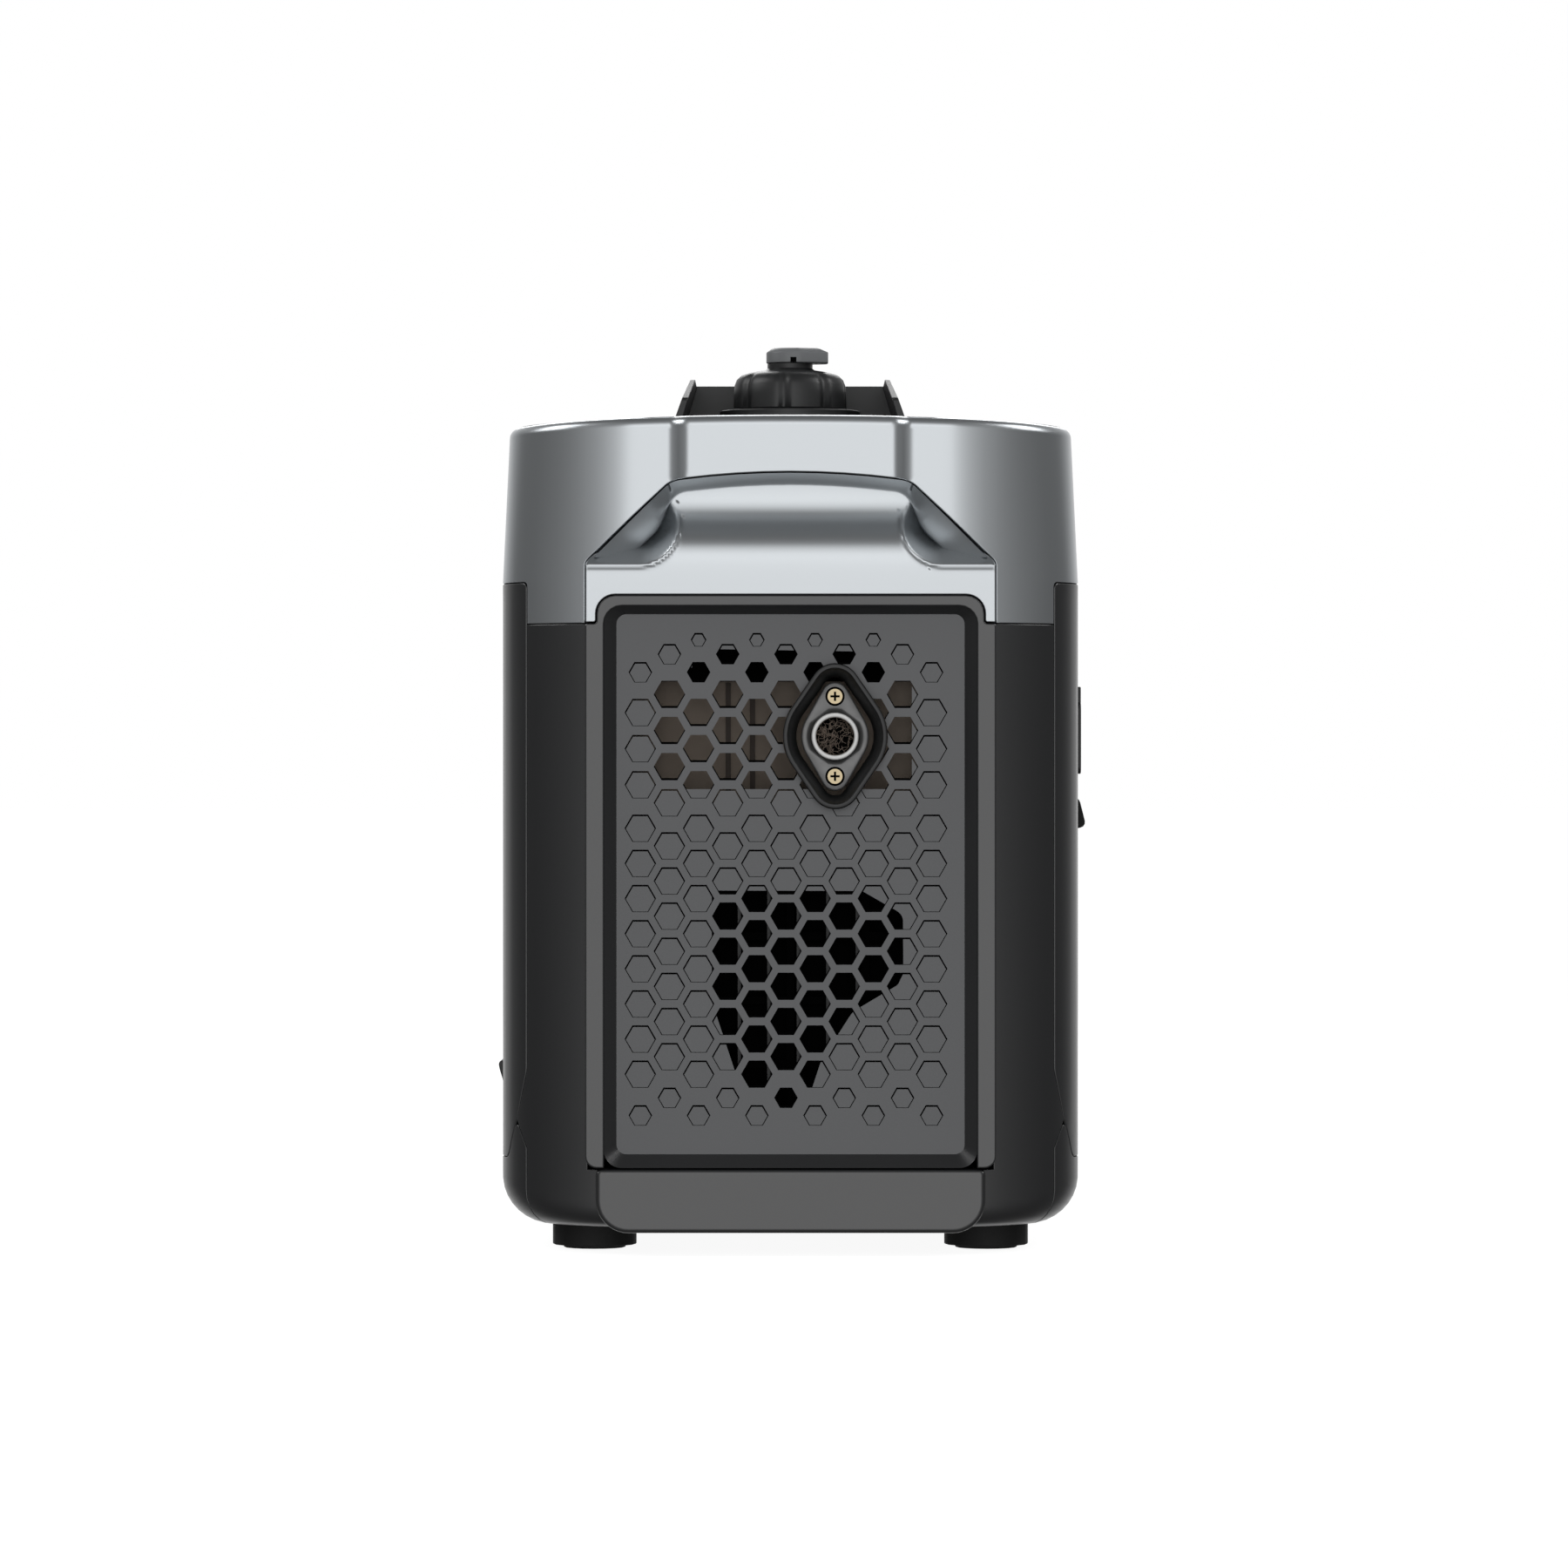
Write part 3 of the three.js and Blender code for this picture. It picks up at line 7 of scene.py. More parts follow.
import logging
import math
from dataclasses import dataclass, field
from enum import Enum
from typing import Callable, Sequence

import bmesh
import bpy
import numpy as np
from mathutils import Matrix, Vector
from mathutils.geometry import delaunay_2d_cdt


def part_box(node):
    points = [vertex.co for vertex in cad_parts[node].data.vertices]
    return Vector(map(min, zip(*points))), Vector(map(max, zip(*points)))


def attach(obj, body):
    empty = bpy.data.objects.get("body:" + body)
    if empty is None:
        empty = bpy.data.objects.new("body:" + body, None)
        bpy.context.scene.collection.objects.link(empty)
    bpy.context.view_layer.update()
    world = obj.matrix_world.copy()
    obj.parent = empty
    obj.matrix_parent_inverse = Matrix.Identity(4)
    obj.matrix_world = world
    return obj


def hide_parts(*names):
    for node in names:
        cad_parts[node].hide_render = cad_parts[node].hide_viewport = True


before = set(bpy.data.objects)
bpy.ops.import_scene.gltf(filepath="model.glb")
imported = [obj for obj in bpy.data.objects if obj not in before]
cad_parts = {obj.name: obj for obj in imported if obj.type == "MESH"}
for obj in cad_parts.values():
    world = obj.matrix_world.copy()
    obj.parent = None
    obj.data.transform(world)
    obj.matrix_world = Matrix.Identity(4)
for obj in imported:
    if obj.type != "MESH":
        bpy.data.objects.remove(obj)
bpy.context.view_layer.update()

LOG = logging.getLogger("generator")
MM = 0.001
# Two sides whose directions differ by less than this (as a sine) count as one line.
STRAIGHT = 0.02
# Points across a face stay at least this share of their spacing from its edges.
GRID_MARGIN = 0.45
# The largest radius of a hole's edge, and the usual radius of an outer one.
HOLE_ROLL = 0.6
# Edges sharper than this, in degrees, stay as creases.
CREASE = 38.0

Array = np.ndarray
Outline = list[tuple[float, float]]
Surface = Callable[[Array, Array], Array]


class End(Enum):
    """The two ends of the body, by the half turns that bring the rear piece there."""

    REAR = 0
    FRONT = 1


# ---------------------------------------------------------------- nodes and finishes


def add_node(tree: bpy.types.NodeTree, kind: str, settings: dict | None = None,
             links: dict | None = None) -> bpy.types.Node:
    """Adds one node to a tree.

    Args:
        tree: The shader or geometry tree.
        kind: The node's type.
        settings: Values by the name of a property or of an input socket.
        links: Output sockets by the name or index of the input they feed.

    Returns:
        The new node.
    """
    node = tree.nodes.new(kind)
    for key, value in (settings or {}).items():
        if isinstance(key, str) and hasattr(node, key):
            setattr(node, key, value)
        else:
            node.inputs[key].default_value = value
    for key, output in (links or {}).items():
        tree.links.new(output, node.inputs[key])
    return node


def linear(hex_colour: str) -> tuple[float, float, float, float]:
    """Turns an sRGB hex colour to the linear numbers that shaders take.

    Args:
        hex_colour: A colour such as "#8f9396".

    Returns:
        Linear red, green, blue and a full alpha.
    """
    parts = [int(hex_colour[i : i + 2], 16) / 255 for i in (1, 3, 5)]
    red, green, blue = (c / 12.92 if c <= 0.04045 else ((c + 0.055) / 1.055) ** 2.4 for c in parts)
    return red, green, blue, 1.0


@dataclass(frozen=True)
class Finish:
    """One real finish: what it is, its colour, and the grain that its making leaves on it."""

    name: str
    slot: str
    colour: str
    roughness: float
    metallic: float = 0.0
    ior: float = 1.5
    coat: float = 0.0
    coat_roughness: float = 0.1
    grain: float = 1.0
    relief: float = 0.0
    streak: tuple[float, float, float] = (1.0, 1.0, 1.0)
    wear: float = 0.04

    def material(self) -> bpy.types.Material:
        """Builds the finish's shader once.

        Returns:
            The material, the same one each time.
        """
        found = bpy.data.materials.get(self.name)
        if found:
            return found
        material = bpy.data.materials.new(self.name)
        material.use_nodes = True
        tree = material.node_tree
        tree.nodes.clear()
        output = add_node(tree, "ShaderNodeOutputMaterial")
        shader = add_node(tree, "ShaderNodeBsdfPrincipled", {
            "Base Color": linear(self.colour), "Metallic": self.metallic, "Roughness": self.roughness,
            "IOR": self.ior, "Coat Weight": self.coat, "Coat Roughness": self.coat_roughness,
        })
        tree.links.new(shader.outputs["BSDF"], output.inputs["Surface"])
        coords = add_node(tree, "ShaderNodeTexCoord")
        stretch = add_node(
            tree, "ShaderNodeMapping", {"Scale": self.streak}, {"Vector": coords.outputs["Object"]},
        )
        noise = add_node(
            tree, "ShaderNodeTexNoise", {"Scale": 1 / (self.grain * MM), "Detail": 3.0},
            {"Vector": stretch.outputs["Vector"]},
        )
        spread = add_node(
            tree, "ShaderNodeMapRange",
            {"To Min": self.roughness - self.wear, "To Max": self.roughness + self.wear},
            {"Value": noise.outputs["Fac"]},
        )
        tree.links.new(spread.outputs["Result"], shader.inputs["Roughness"])
        if self.relief:
            bump = add_node(
                tree, "ShaderNodeBump", {"Strength": 0.35, "Distance": self.relief * MM},
                {"Height": noise.outputs["Fac"]},
            )
            tree.links.new(bump.outputs["Normal"], shader.inputs["Normal"])
        return material


# Silver metallic paint on moulded ABS: soft mirror-like gradients, no visible flake.
SILVER_PAINT = Finish("silver_metallic_paint", "silver_plastic", "#b4b8bb", 0.30, metallic=0.9, wear=0.02)
# Moulded black ABS with a fine spark texture: satin, dark, with a broad highlight.
SHELL_ABS = Finish("moulded_black_abs", "shell_plastic", "#1b1c1e", 0.3, ior=1.75, grain=0.9, relief=0.02)
# Charcoal ABS of the vent panels, moulded smoother than the shell.
PANEL_ABS = Finish("moulded_charcoal_abs", "grille_plastic", "#5a5b5d", 0.42, grain=0.9, relief=0.02)
# Glass-filled black nylon: the exhaust surround, the cap and the guard.
NYLON = Finish("glass_filled_nylon", "black_plastic", "#1c1d1e", 0.42, grain=0.7, relief=0.03)
# Painted shade: black nylon made near-black and without highlights, for the hollows and backing sheets deep
# inside the vents.
PAINTED_SHADE_NYLON = Finish("painted_shade_nylon", "black_plastic", "#050505", 0.9, ior=1.1, grain=2.0)
# Mid-grey paint on the vent knob: satin, no metal in it.
GREY_PAINT = Finish("satin_grey_paint", "silver_plastic", "#6f7173", 0.45, grain=2.0)
# Vulcanised rubber: matt and almost black.
RUBBER = Finish("vulcanised_rubber", "rubber", "#080808", 0.75, grain=1.2, relief=0.04)
# Aluminised sheet steel browned by heat.
HEATED_SHEET = Finish("heat_browned_sheet", "hot_steel", "#74695e", 0.62, metallic=0.25, grain=14, wear=0.1)
# The ribs pressed into the muffler's cover: the heat-browned sheet made darker as painted shade.
SHADED_SHEET = Finish("heat_browned_rib_painted_shade", "hot_steel", "#3f3731", 0.7, metallic=0.25, grain=14)
# Drawn steel wire of the spark arrester, browned by the exhaust.
ARRESTER_WIRE = Finish("browned_steel_wire", "hot_steel", "#8b7e73", 0.45, metallic=0.8, grain=1.0)
# Turned mild steel, lightly oiled.
TURNED_STEEL = Finish("turned_steel", "steel", "#b9b9b8", 0.38, metallic=0.75, grain=2, wear=0.06)
# Pressed steel flange, zinc-flake coated: darker and duller than the turned pipe end.
COATED_STEEL = Finish("zinc_flake_steel", "steel", "#7c7c7c", 0.5, metallic=0.6, grain=3, wear=0.08)
# Zinc plate with a yellow chromate: pale brass.
YELLOW_ZINC = Finish("yellow_zinc_plate", "yellow_zinc", "#b5a688", 0.34, metallic=0.9, grain=1.5)
# Die-cast aluminium, shot-blasted: even grey with a slight tooth.
CAST_ALUMINIUM = Finish(
    "die_cast_aluminium", "cast_aluminium", "#8a8c8e", 0.55, metallic=1.0, grain=1.4, relief=0.08,
)
# Enamelled copper wire, wound close: fine rows along the coil.
COPPER_WINDING = Finish(
    "enamelled_copper_winding", "winding_copper", "#8f4b27", 0.35, metallic=1.0, grain=1.1, relief=0.2,
    streak=(1.0, 0.1, 1.0),
)
# Smoked polycarbonate window over a dark display.
SMOKED_WINDOW = Finish(
    "smoked_polycarbonate", "display_window", "#0d1114", 0.08, ior=1.58, coat=0.5, wear=0.01,
)


# ---------------------------------------------------------------- outlines


def rounded(corners: Sequence[tuple], steps: int = 5) -> Outline:
    """Rounds the corners of a polygon.

    Args:
        corners: Points (u, v) or (u, v, radius) in order.
        steps: How many chords stand for each arc.

    Returns:
        The outline's points.
    """
    outline: Outline = []
    count = len(corners)
    for i, corner in enumerate(corners):
        point = Vector(corner[:2])
        radius = corner[2] if len(corner) > 2 else 0.0
        back = (Vector(corners[i - 1][:2]) - point).normalized()
        ahead = (Vector(corners[(i + 1) % count][:2]) - point).normalized()
        half = math.acos(max(-1.0, min(1.0, back.dot(ahead)))) / 2
        if radius == 0 or half > math.pi / 2 - 1e-3:
            outline.append(tuple(point))
            continue
        centre = point + (back + ahead).normalized() * radius / math.sin(half)
        start = point + back * radius / math.tan(half) - centre
        end = point + ahead * radius / math.tan(half) - centre
        sweep = math.atan2(start.x * end.y - start.y * end.x, start.dot(end))
        first = math.atan2(start.y, start.x)
        for k in range(steps + 1):
            angle = first + sweep * k / steps
            outline.append((centre.x + radius * math.cos(angle), centre.y + radius * math.sin(angle)))
    return outline


def box(u0: float, u1: float, v0: float, v1: float, radius: float = 0.0, steps: int = 5) -> Outline:
    """A rectangle with rounded corners, anticlockwise."""
    return rounded([(u0, v0, radius), (u1, v0, radius), (u1, v1, radius), (u0, v1, radius)], steps)


def circle(radius: float, u: float = 0.0, v: float = 0.0, steps: int = 48) -> Outline:
    """A circle, anticlockwise."""
    turns = [2 * math.pi * k / steps for k in range(steps)]
    return [(u + radius * math.cos(t), v + radius * math.sin(t)) for t in turns]


def mirror(corners: Sequence[tuple]) -> list[tuple]:
    """The mirror images of corners, in the order that carries an outline on."""
    return [(-u, *rest) for u, *rest in reversed(corners)]


def lozenge(half: float, tall: float, tip: float, u: float, v: float, steps: int = 14) -> Outline:
    """The convex outline around a large circle with a small one above and below it.

    Args:
        half: The large circle's radius.
        tall: Half the outline's height.
        tip: The small circles' radius.
        u: The middle, across.
        v: The middle, upwards.
        steps: Chords in each arc.

    Returns:
        The outline's points.
    """
    rise = tall - tip
    lean = math.asin((half - tip) / rise)
    arcs = [
        (half, 0.0, -lean, lean), (tip, rise, lean, math.pi - lean),
        (half, 0.0, math.pi - lean, math.pi + lean), (tip, -rise, math.pi + lean, 2 * math.pi - lean),
    ]
    outline: Outline = []
    for radius, offset, first, last in arcs:
        for k in range(steps + 1):
            angle = first + (last - first) * k / steps
            outline.append((u + radius * math.cos(angle), v + offset + radius * math.sin(angle)))
    return outline


def resampled(outline: Outline, spacing: float, rolls: Sequence[float]) -> tuple[Array, Array]:
    """Splits an outline's long sides.

    Args:
        outline: The outline.
        spacing: The longest side left.
        rolls: The edge radius of each side. A side with none meets another piece and stays whole.

    Returns:
        The points and the edge radius of each new side.
    """
    points, edges = [], []
    for i, start in enumerate(outline):
        end = outline[(i + 1) % len(outline)]
        parts = max(1, math.ceil(math.dist(start, end) / spacing)) if rolls[i] else 1
        for k in range(parts):
            share = k / parts
            points.append((start[0] + (end[0] - start[0]) * share, start[1] + (end[1] - start[1]) * share))
            edges.append(rolls[i])
    return np.array(points), np.array(edges)


def side_normals(points: Array) -> Array:
    """The outward direction of each side of a loop.

    Args:
        points: The loop, anticlockwise.

    Returns:
        The directions, each one long.
    """
    along = np.roll(points, -1, axis=0) - points
    normals = np.column_stack([along[:, 1], -along[:, 0]])
    return normals / np.maximum(np.linalg.norm(normals, axis=1, keepdims=True), 1e-9)


def moved_in(points: Array, distances: Array) -> Array:
    """Moves each side of a loop inwards by its own distance.

    Args:
        points: The loop, anticlockwise.
        distances: The distance for each side.

    Returns:
        The moved loop.
    """
    after = side_normals(points)
    before = np.roll(after, 1, axis=0)
    far, near = distances, np.roll(distances, 1)
    cross = before[:, 0] * after[:, 1] - before[:, 1] * after[:, 0]
    straight = np.abs(cross) < STRAIGHT
    safe = np.where(straight, 1.0, cross)
    shift_u = (near * after[:, 1] - far * before[:, 1]) / safe
    shift_v = (far * before[:, 0] - near * after[:, 0]) / safe
    along = np.maximum(near, far)[:, None] * (before + after) / 2
    return points - np.where(straight[:, None], along, np.column_stack([shift_u, shift_v]))


def inside(points: Array, loop: Array) -> Array:
    """Tells which points lie inside a loop.

    Args:
        points: The points.
        loop: The loop.

    Returns:
        A truth value for each point.
    """
    result = np.zeros(len(points), bool)
    ends = np.roll(loop, -1, axis=0)
    for (u0, v0), (u1, v1) in zip(loop, ends):
        crosses = (v0 > points[:, 1]) != (v1 > points[:, 1])
        reach = (u1 - u0) * (points[:, 1] - v0) / (v1 - v0 if v1 != v0 else 1.0) + u0
        result ^= crosses & (points[:, 0] < reach)
    return result


def clearance(points: Array, loop: Array) -> Array:
    """The distance from each point to the nearest side of a loop.

    Args:
        points: The points.
        loop: The loop.

    Returns:
        The distances.
    """
    nearest = np.full(len(points), np.inf)
    ends = np.roll(loop, -1, axis=0)
    for start, end in zip(loop, ends):
        along = end - start
        share = np.clip((points - start) @ along / max(along @ along, 1e-9), 0, 1)
        nearest = np.minimum(nearest, np.linalg.norm(points - start - share[:, None] * along, axis=1))
    return nearest


def on_face(points: Array, rims: Sequence[Array], margin: float = 0.0) -> Array:
    """Tells which points lie on a face with holes.

    Args:
        points: The points.
        rims: The face's outer edge, then the edge of each hole.
        margin: How far the points have to be from every edge.

    Returns:
        A truth value for each point.
    """
    keep = inside(points, rims[0])
    for hole in rims[1:]:
        keep &= ~inside(points, hole)
    if margin:
        for rim in rims:
            keep &= clearance(points, rim) > margin
    return keep


# ---------------------------------------------------------------- meshes


@dataclass
class Draft:
    """A mesh in the making: its points, its faces and the normal of each face corner."""

    points: list[Array] = field(default_factory=list)
    faces: list[tuple] = field(default_factory=list)
    normals: list[Array] = field(default_factory=list)
    count: int = 0

    def add_points(self, points: Array) -> int:
        """Adds points.

        Args:
            points: Their places.

        Returns:
            The number of the first.
        """
        first = self.count
        self.points.append(points)
        self.count += len(points)
        return first

    def add_faces(self, faces: Array, normals: Array) -> None:
        """Adds faces, with the normal of each of their corners."""
        self.faces.extend(map(tuple, faces.tolist()))
        self.normals.append(normals.reshape(-1, 3))

    def add_strip(self, first: int, second: int, size: int, normal_first: Array, normal_second: Array,
                  flip: bool) -> None:
        """Joins two loops of points with a strip of quads.

        Args:
            first: The first point of the first loop.
            second: The first point of the second loop.
            size: How many points each loop has.
            normal_first: The normals along the first loop.
            normal_second: The normals along the second loop.
            flip: Whether the faces turn the other way.
        """
        here = np.arange(size)
        after = (here + 1) % size
        faces = np.column_stack([first + here, first + after, second + after, second + here])
        normals = np.stack([
            normal_first[here], normal_first[after], normal_second[after], normal_second[here],
        ], axis=1)
        if flip:
            faces, normals = faces[:, ::-1], normals[:, ::-1]
        self.add_faces(faces, normals)

    def mesh(self, name: str) -> bpy.types.Mesh:
        """Writes the draft as a mesh.

        Args:
            name: The mesh's name.

        Returns:
            The mesh, in metres.
        """
        mesh = bpy.data.meshes.new(name)
        mesh.from_pydata((np.concatenate(self.points) * MM).tolist(), [], self.faces)
        mesh.shade_smooth()
        mesh.normals_split_custom_set(np.concatenate(self.normals).tolist())
        return mesh


def unit(vectors: Array) -> Array:
    """Vectors made one long."""
    return vectors / np.maximum(np.linalg.norm(vectors, axis=1, keepdims=True), 1e-12)


def slopes(surface: Surface, uv: Array) -> tuple[Array, Array, Array]:
    """The two tangents and the outward normal of a surface.

    Args:
        surface: The surface.
        uv: The points on it.

    Returns:
        The tangents along u and v, and the normals.
    """
    step = 0.05
    depth = np.zeros(len(uv))
    across = surface(uv + (step, 0), depth) - surface(uv - (step, 0), depth)
    upwards = surface(uv + (0, step), depth) - surface(uv - (0, step), depth)
    normal = unit(np.cross(across, upwards))
    outward = surface(uv, depth) - surface(uv, depth + step)
    normal *= np.sign((normal * outward).sum(axis=1, keepdims=True))
    return across, upwards, normal


def rolled_edge(draft: Draft, surface: Surface, points: Array, radii: Array, thick: float, flip: bool,
                arc: int) -> tuple[Array, int, int]:
    """Adds the rounded edge of one loop of a wall, its side and the border of its back.

    Args:
        draft: The mesh that takes them.
        surface: The surface that the wall follows.
        points: The loop, anticlockwise round the wall and clockwise round a hole.
        radii: The edge radius of each side.
        thick: The wall's thickness.
        flip: Whether the surface's two directions turn the other way.
        arc: Chords in the edge's roll.

    Returns:
        The flat face's rim, and the numbers of the first point of the rim and of the back.
    """
    size = len(points)
    reach = np.maximum(radii, np.roll(radii, 1))
    facing = side_normals(points)
    facing = unit(facing + np.roll(facing, 1, axis=0))
    across, upwards, normal = slopes(surface, points)
    outward = unit(facing[:, :1] * across + facing[:, 1:] * upwards)
    rows, shades = [], []
    for k in range(arc + 1):
        angle = math.pi / 2 * k / arc
        ring = moved_in(points, radii * (1 - math.sin(angle)))
        rows.append(draft.add_points(surface(ring, reach * (1 - math.cos(angle)))))
        face_normal = slopes(surface, ring)[2]
        shades.append(unit(math.cos(angle) * face_normal + math.sin(angle) * outward))
    for k in range(arc):
        draft.add_strip(rows[k], rows[k + 1], size, shades[k], shades[k + 1], not flip)
    side = draft.add_points(surface(points, np.full(size, thick)))
    draft.add_strip(rows[-1], side, size, outward, outward, not flip)
    rim = moved_in(points, radii)
    back = draft.add_points(surface(rim, np.full(size, thick)))
    draft.add_strip(side, back, size, -normal, -normal, not flip)
    return rim, rows[0], back


def filled(rims: Sequence[Array], grid: float | None) -> tuple[Array, Array]:
    """Fills a flat face with triangles.

    Args:
        rims: The face's outer edge, then the edge of each hole.
        grid: The spacing of points across the face, where there are any.

    Returns:
        The points, those of the rims first, and the triangles.
    """
    flat = np.concatenate(rims)
    chords: list[tuple[int, int]] = []
    for rim in rims:
        first = len(chords)
        chords += [(first + i, first + (i + 1) % len(rim)) for i in range(len(rim))]
    if grid:
        low, high = flat.min(axis=0), flat.max(axis=0)
        us, vs = (np.arange(low[i] + grid / 2, high[i], grid) for i in (0, 1))
        middle = np.array(np.meshgrid(us, vs)).reshape(2, -1).T
        flat = np.concatenate([flat, middle[on_face(middle, rims, grid * GRID_MARGIN)]])
    result = delaunay_2d_cdt([Vector(p) for p in flat.tolist()], chords, [], 0, 1e-7)
    if len(result[0]) != len(flat):
        LOG.warning("an edge roll folds over a corner: %d points from %d", len(result[0]), len(flat))
    flat = np.array([tuple(p) for p in result[0]])
    triangles = np.array(result[2])
    return flat, triangles[on_face(flat[triangles].mean(axis=1), rims)]


def skin(draft: Draft, surface: Surface, outline: Outline, thick: float,
         roll: float | Sequence[float] = HOLE_ROLL, spacing: float = 6.0, holes: Sequence[Outline] = (),
         grid: float | None = None, arc: int = 4) -> None:
    """Adds a closed wall that follows a surface, with rounded edges on its outer face.

    Args:
        draft: The mesh that takes the wall.
        surface: Gives a place in space for points on the surface at depths below it.
        outline: The wall's outline on the surface, anticlockwise.
        thick: The wall's thickness.
        roll: The radius of the outer edges, one for all or one for each side of the outline.
        spacing: The longest side of the edges.
        holes: The outlines of holes, anticlockwise.
        grid: The spacing of points across the face, where the surface is curved.
        arc: Chords in an edge's roll.
    """
    rolls = [roll] * len(outline) if isinstance(roll, (int, float)) else list(roll)
    hole_roll = min(max(rolls), HOLE_ROLL)
    loops = [resampled(outline, spacing, rolls)]
    loops += [resampled(hole[::-1], spacing, [hole_roll] * len(hole)) for hole in holes]
    across, upwards, normal = slopes(surface, np.array([outline[0]]))
    flip = float((np.cross(across, upwards) * normal).sum()) < 0
    edges = [rolled_edge(draft, surface, points, radii, thick, flip, arc) for points, radii in loops]
    flat, triangles = filled([rim for rim, _, _ in edges], grid)
    fronts = np.concatenate([first + np.arange(len(rim)) for rim, first, _ in edges])
    backs = np.concatenate([first + np.arange(len(rim)) for rim, _, first in edges])
    extra = flat[len(fronts):]
    if len(extra):
        numbers = np.arange(len(extra))
        fronts = np.append(fronts, numbers + draft.add_points(surface(extra, np.zeros(len(extra)))))
        backs = np.append(backs, numbers + draft.add_points(surface(extra, np.full(len(extra), thick))))
    face_normals = slopes(surface, flat)[2]
    shown, hidden = (triangles[:, ::-1], triangles) if flip else (triangles, triangles[:, ::-1])
    draft.add_faces(fronts[shown], face_normals[shown])
    draft.add_faces(backs[hidden], -face_normals[hidden])


def loft(rows: Sequence[Array], around: bool = True, name: str = "loft") -> bpy.types.Mesh:
    """Joins loops of points into a closed solid.

    Args:
        rows: Loops with the same number of points, each in space.
        around: Whether the last loop joins the first, as in a frame. Otherwise both are capped.
        name: The mesh's name.

    Returns:
        The mesh, in metres.
    """
    size = len(rows[0])
    faces: list[tuple] = []
    pairs = len(rows) if around else len(rows) - 1
    for r in range(pairs):
        for i in range(size):
            j, s = (i + 1) % size, (r + 1) % len(rows)
            faces.append((r * size + i, r * size + j, s * size + j, s * size + i))
    if not around:
        faces.append(tuple(range(size))[::-1])
        faces.append(tuple(range((len(rows) - 1) * size, len(rows) * size)))
    mesh = bpy.data.meshes.new(name)
    mesh.from_pydata((np.concatenate(rows) * MM).tolist(), [], faces)
    return outward_faces(mesh)


def outward_faces(mesh: bpy.types.Mesh, merge_flat: bool = False) -> bpy.types.Mesh:
    """Turns a closed mesh's faces outwards and smooths it up to its creases.

    Args:
        mesh: The mesh.
        merge_flat: Whether faces that lie in one plane become one.

    Returns:
        The same mesh.
    """
    work = bmesh.new()
    work.from_mesh(mesh)
    bmesh.ops.remove_doubles(work, verts=work.verts, dist=0.005 * MM)
    bmesh.ops.recalc_face_normals(work, faces=work.faces)
    if merge_flat:
        bmesh.ops.dissolve_limit(work, angle_limit=math.radians(0.5), verts=work.verts, edges=work.edges)
    work.to_mesh(mesh)
    work.free()
    mesh.shade_smooth()
    mesh.set_sharp_from_angle(angle=math.radians(CREASE))
    return mesh


def half_turned(mesh: bpy.types.Mesh, name: str) -> bpy.types.Mesh:
    """A copy of a mesh turned half way round the upright axis.

    Args:
        mesh: The mesh.
        name: The copy's name.

    Returns:
        The copy.
    """
    copy = mesh.copy()
    copy.name = name
    copy.transform(Matrix.Rotation(math.pi, 4, "Z"))
    return copy


def linked(name: str, data: bpy.types.ID) -> bpy.types.Object:
    """Adds an object to the scene.

    Args:
        name: The object's name.
        data: Its mesh, light or camera.

    Returns:
        The new object.
    """
    thing = bpy.data.objects.new(name, data)
    bpy.context.scene.collection.objects.link(thing)
    return thing


def made_plain(work: bpy.types.Object) -> bpy.types.Mesh:
    """Turns a work object to a plain mesh and removes the object.

    Args:
        work: The object, with its modifiers.

    Returns:
        The mesh that the modifiers make.
    """
    graph = bpy.context.evaluated_depsgraph_get()
    result = bpy.data.meshes.new_from_object(work.evaluated_get(graph))
    work.modifiers.clear()
    bpy.data.objects.remove(work)
    return result


@dataclass
class Workshop:
    """Puts finished pieces in the scene and on their bodies."""

    made: int = 0
    rounded_from: float = 32.0
    chords: int = 3

    def place(self, name: str, mesh: bpy.types.Mesh, finish: Finish, body: str,
              replaced: Sequence[str] = ()) -> bpy.types.Object:
        """Adds a piece.

        Args:
            name: The piece's name.
            mesh: Its mesh, in metres, in place.
            finish: Its finish.
            body: The body it moves with.
            replaced: The CAD nodes that it stands for.

        Returns:
            The new object.
        """
        mesh.materials.clear()
        mesh.materials.append(finish.material())
        piece = linked(name, mesh)
        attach(piece, body)
        if replaced:
            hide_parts(*replaced)
        self.made += 1
        LOG.info("%s: %d faces on %s", name, len(mesh.polygons), body)
        return piece

    def soften(self, node: str, finish: Finish, bevel: float, body: str) -> bpy.types.Object:
        """Replaces a CAD node by a copy of it whose edges are rounded.

        Args:
            node: The node.
            finish: The finish of the copy.
            bevel: The radius of its edges.
            body: The body it moves with.

        Returns:
            The new object.
        """
        work = linked(node + "_work", outward_faces(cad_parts[node].data.copy(), merge_flat=True))
        rounding = work.modifiers.new("edges", "BEVEL")
        rounding.width = bevel * MM
        rounding.segments = self.chords
        rounding.limit_method = "ANGLE"
        rounding.angle_limit = math.radians(self.rounded_from)
        work.modifiers.new("flats", "WEIGHTED_NORMAL").keep_sharp = True
        return self.place(node + "_finished", made_plain(work), finish, body, [node])


# ---------------------------------------------------------------- geometry node trees


def new_tree(name: str, inputs: dict[str, tuple[str, object]]) -> bpy.types.NodeTree:
    """Starts a geometry tree.

    Args:
        name: The tree's name.
        inputs: The type and default of each named input.

    Returns:
        The tree, with its geometry sockets and the named ones.
    """
    tree = bpy.data.node_groups.new(name, "GeometryNodeTree")
    tree.interface.new_socket("Geometry", in_out="INPUT", socket_type="NodeSocketGeometry")
    tree.interface.new_socket("Geometry", in_out="OUTPUT", socket_type="NodeSocketGeometry")
    for key, (kind, default) in inputs.items():
        socket = tree.interface.new_socket(key, in_out="INPUT", socket_type=kind)
        if default is not None:
            socket.default_value = default
    return tree


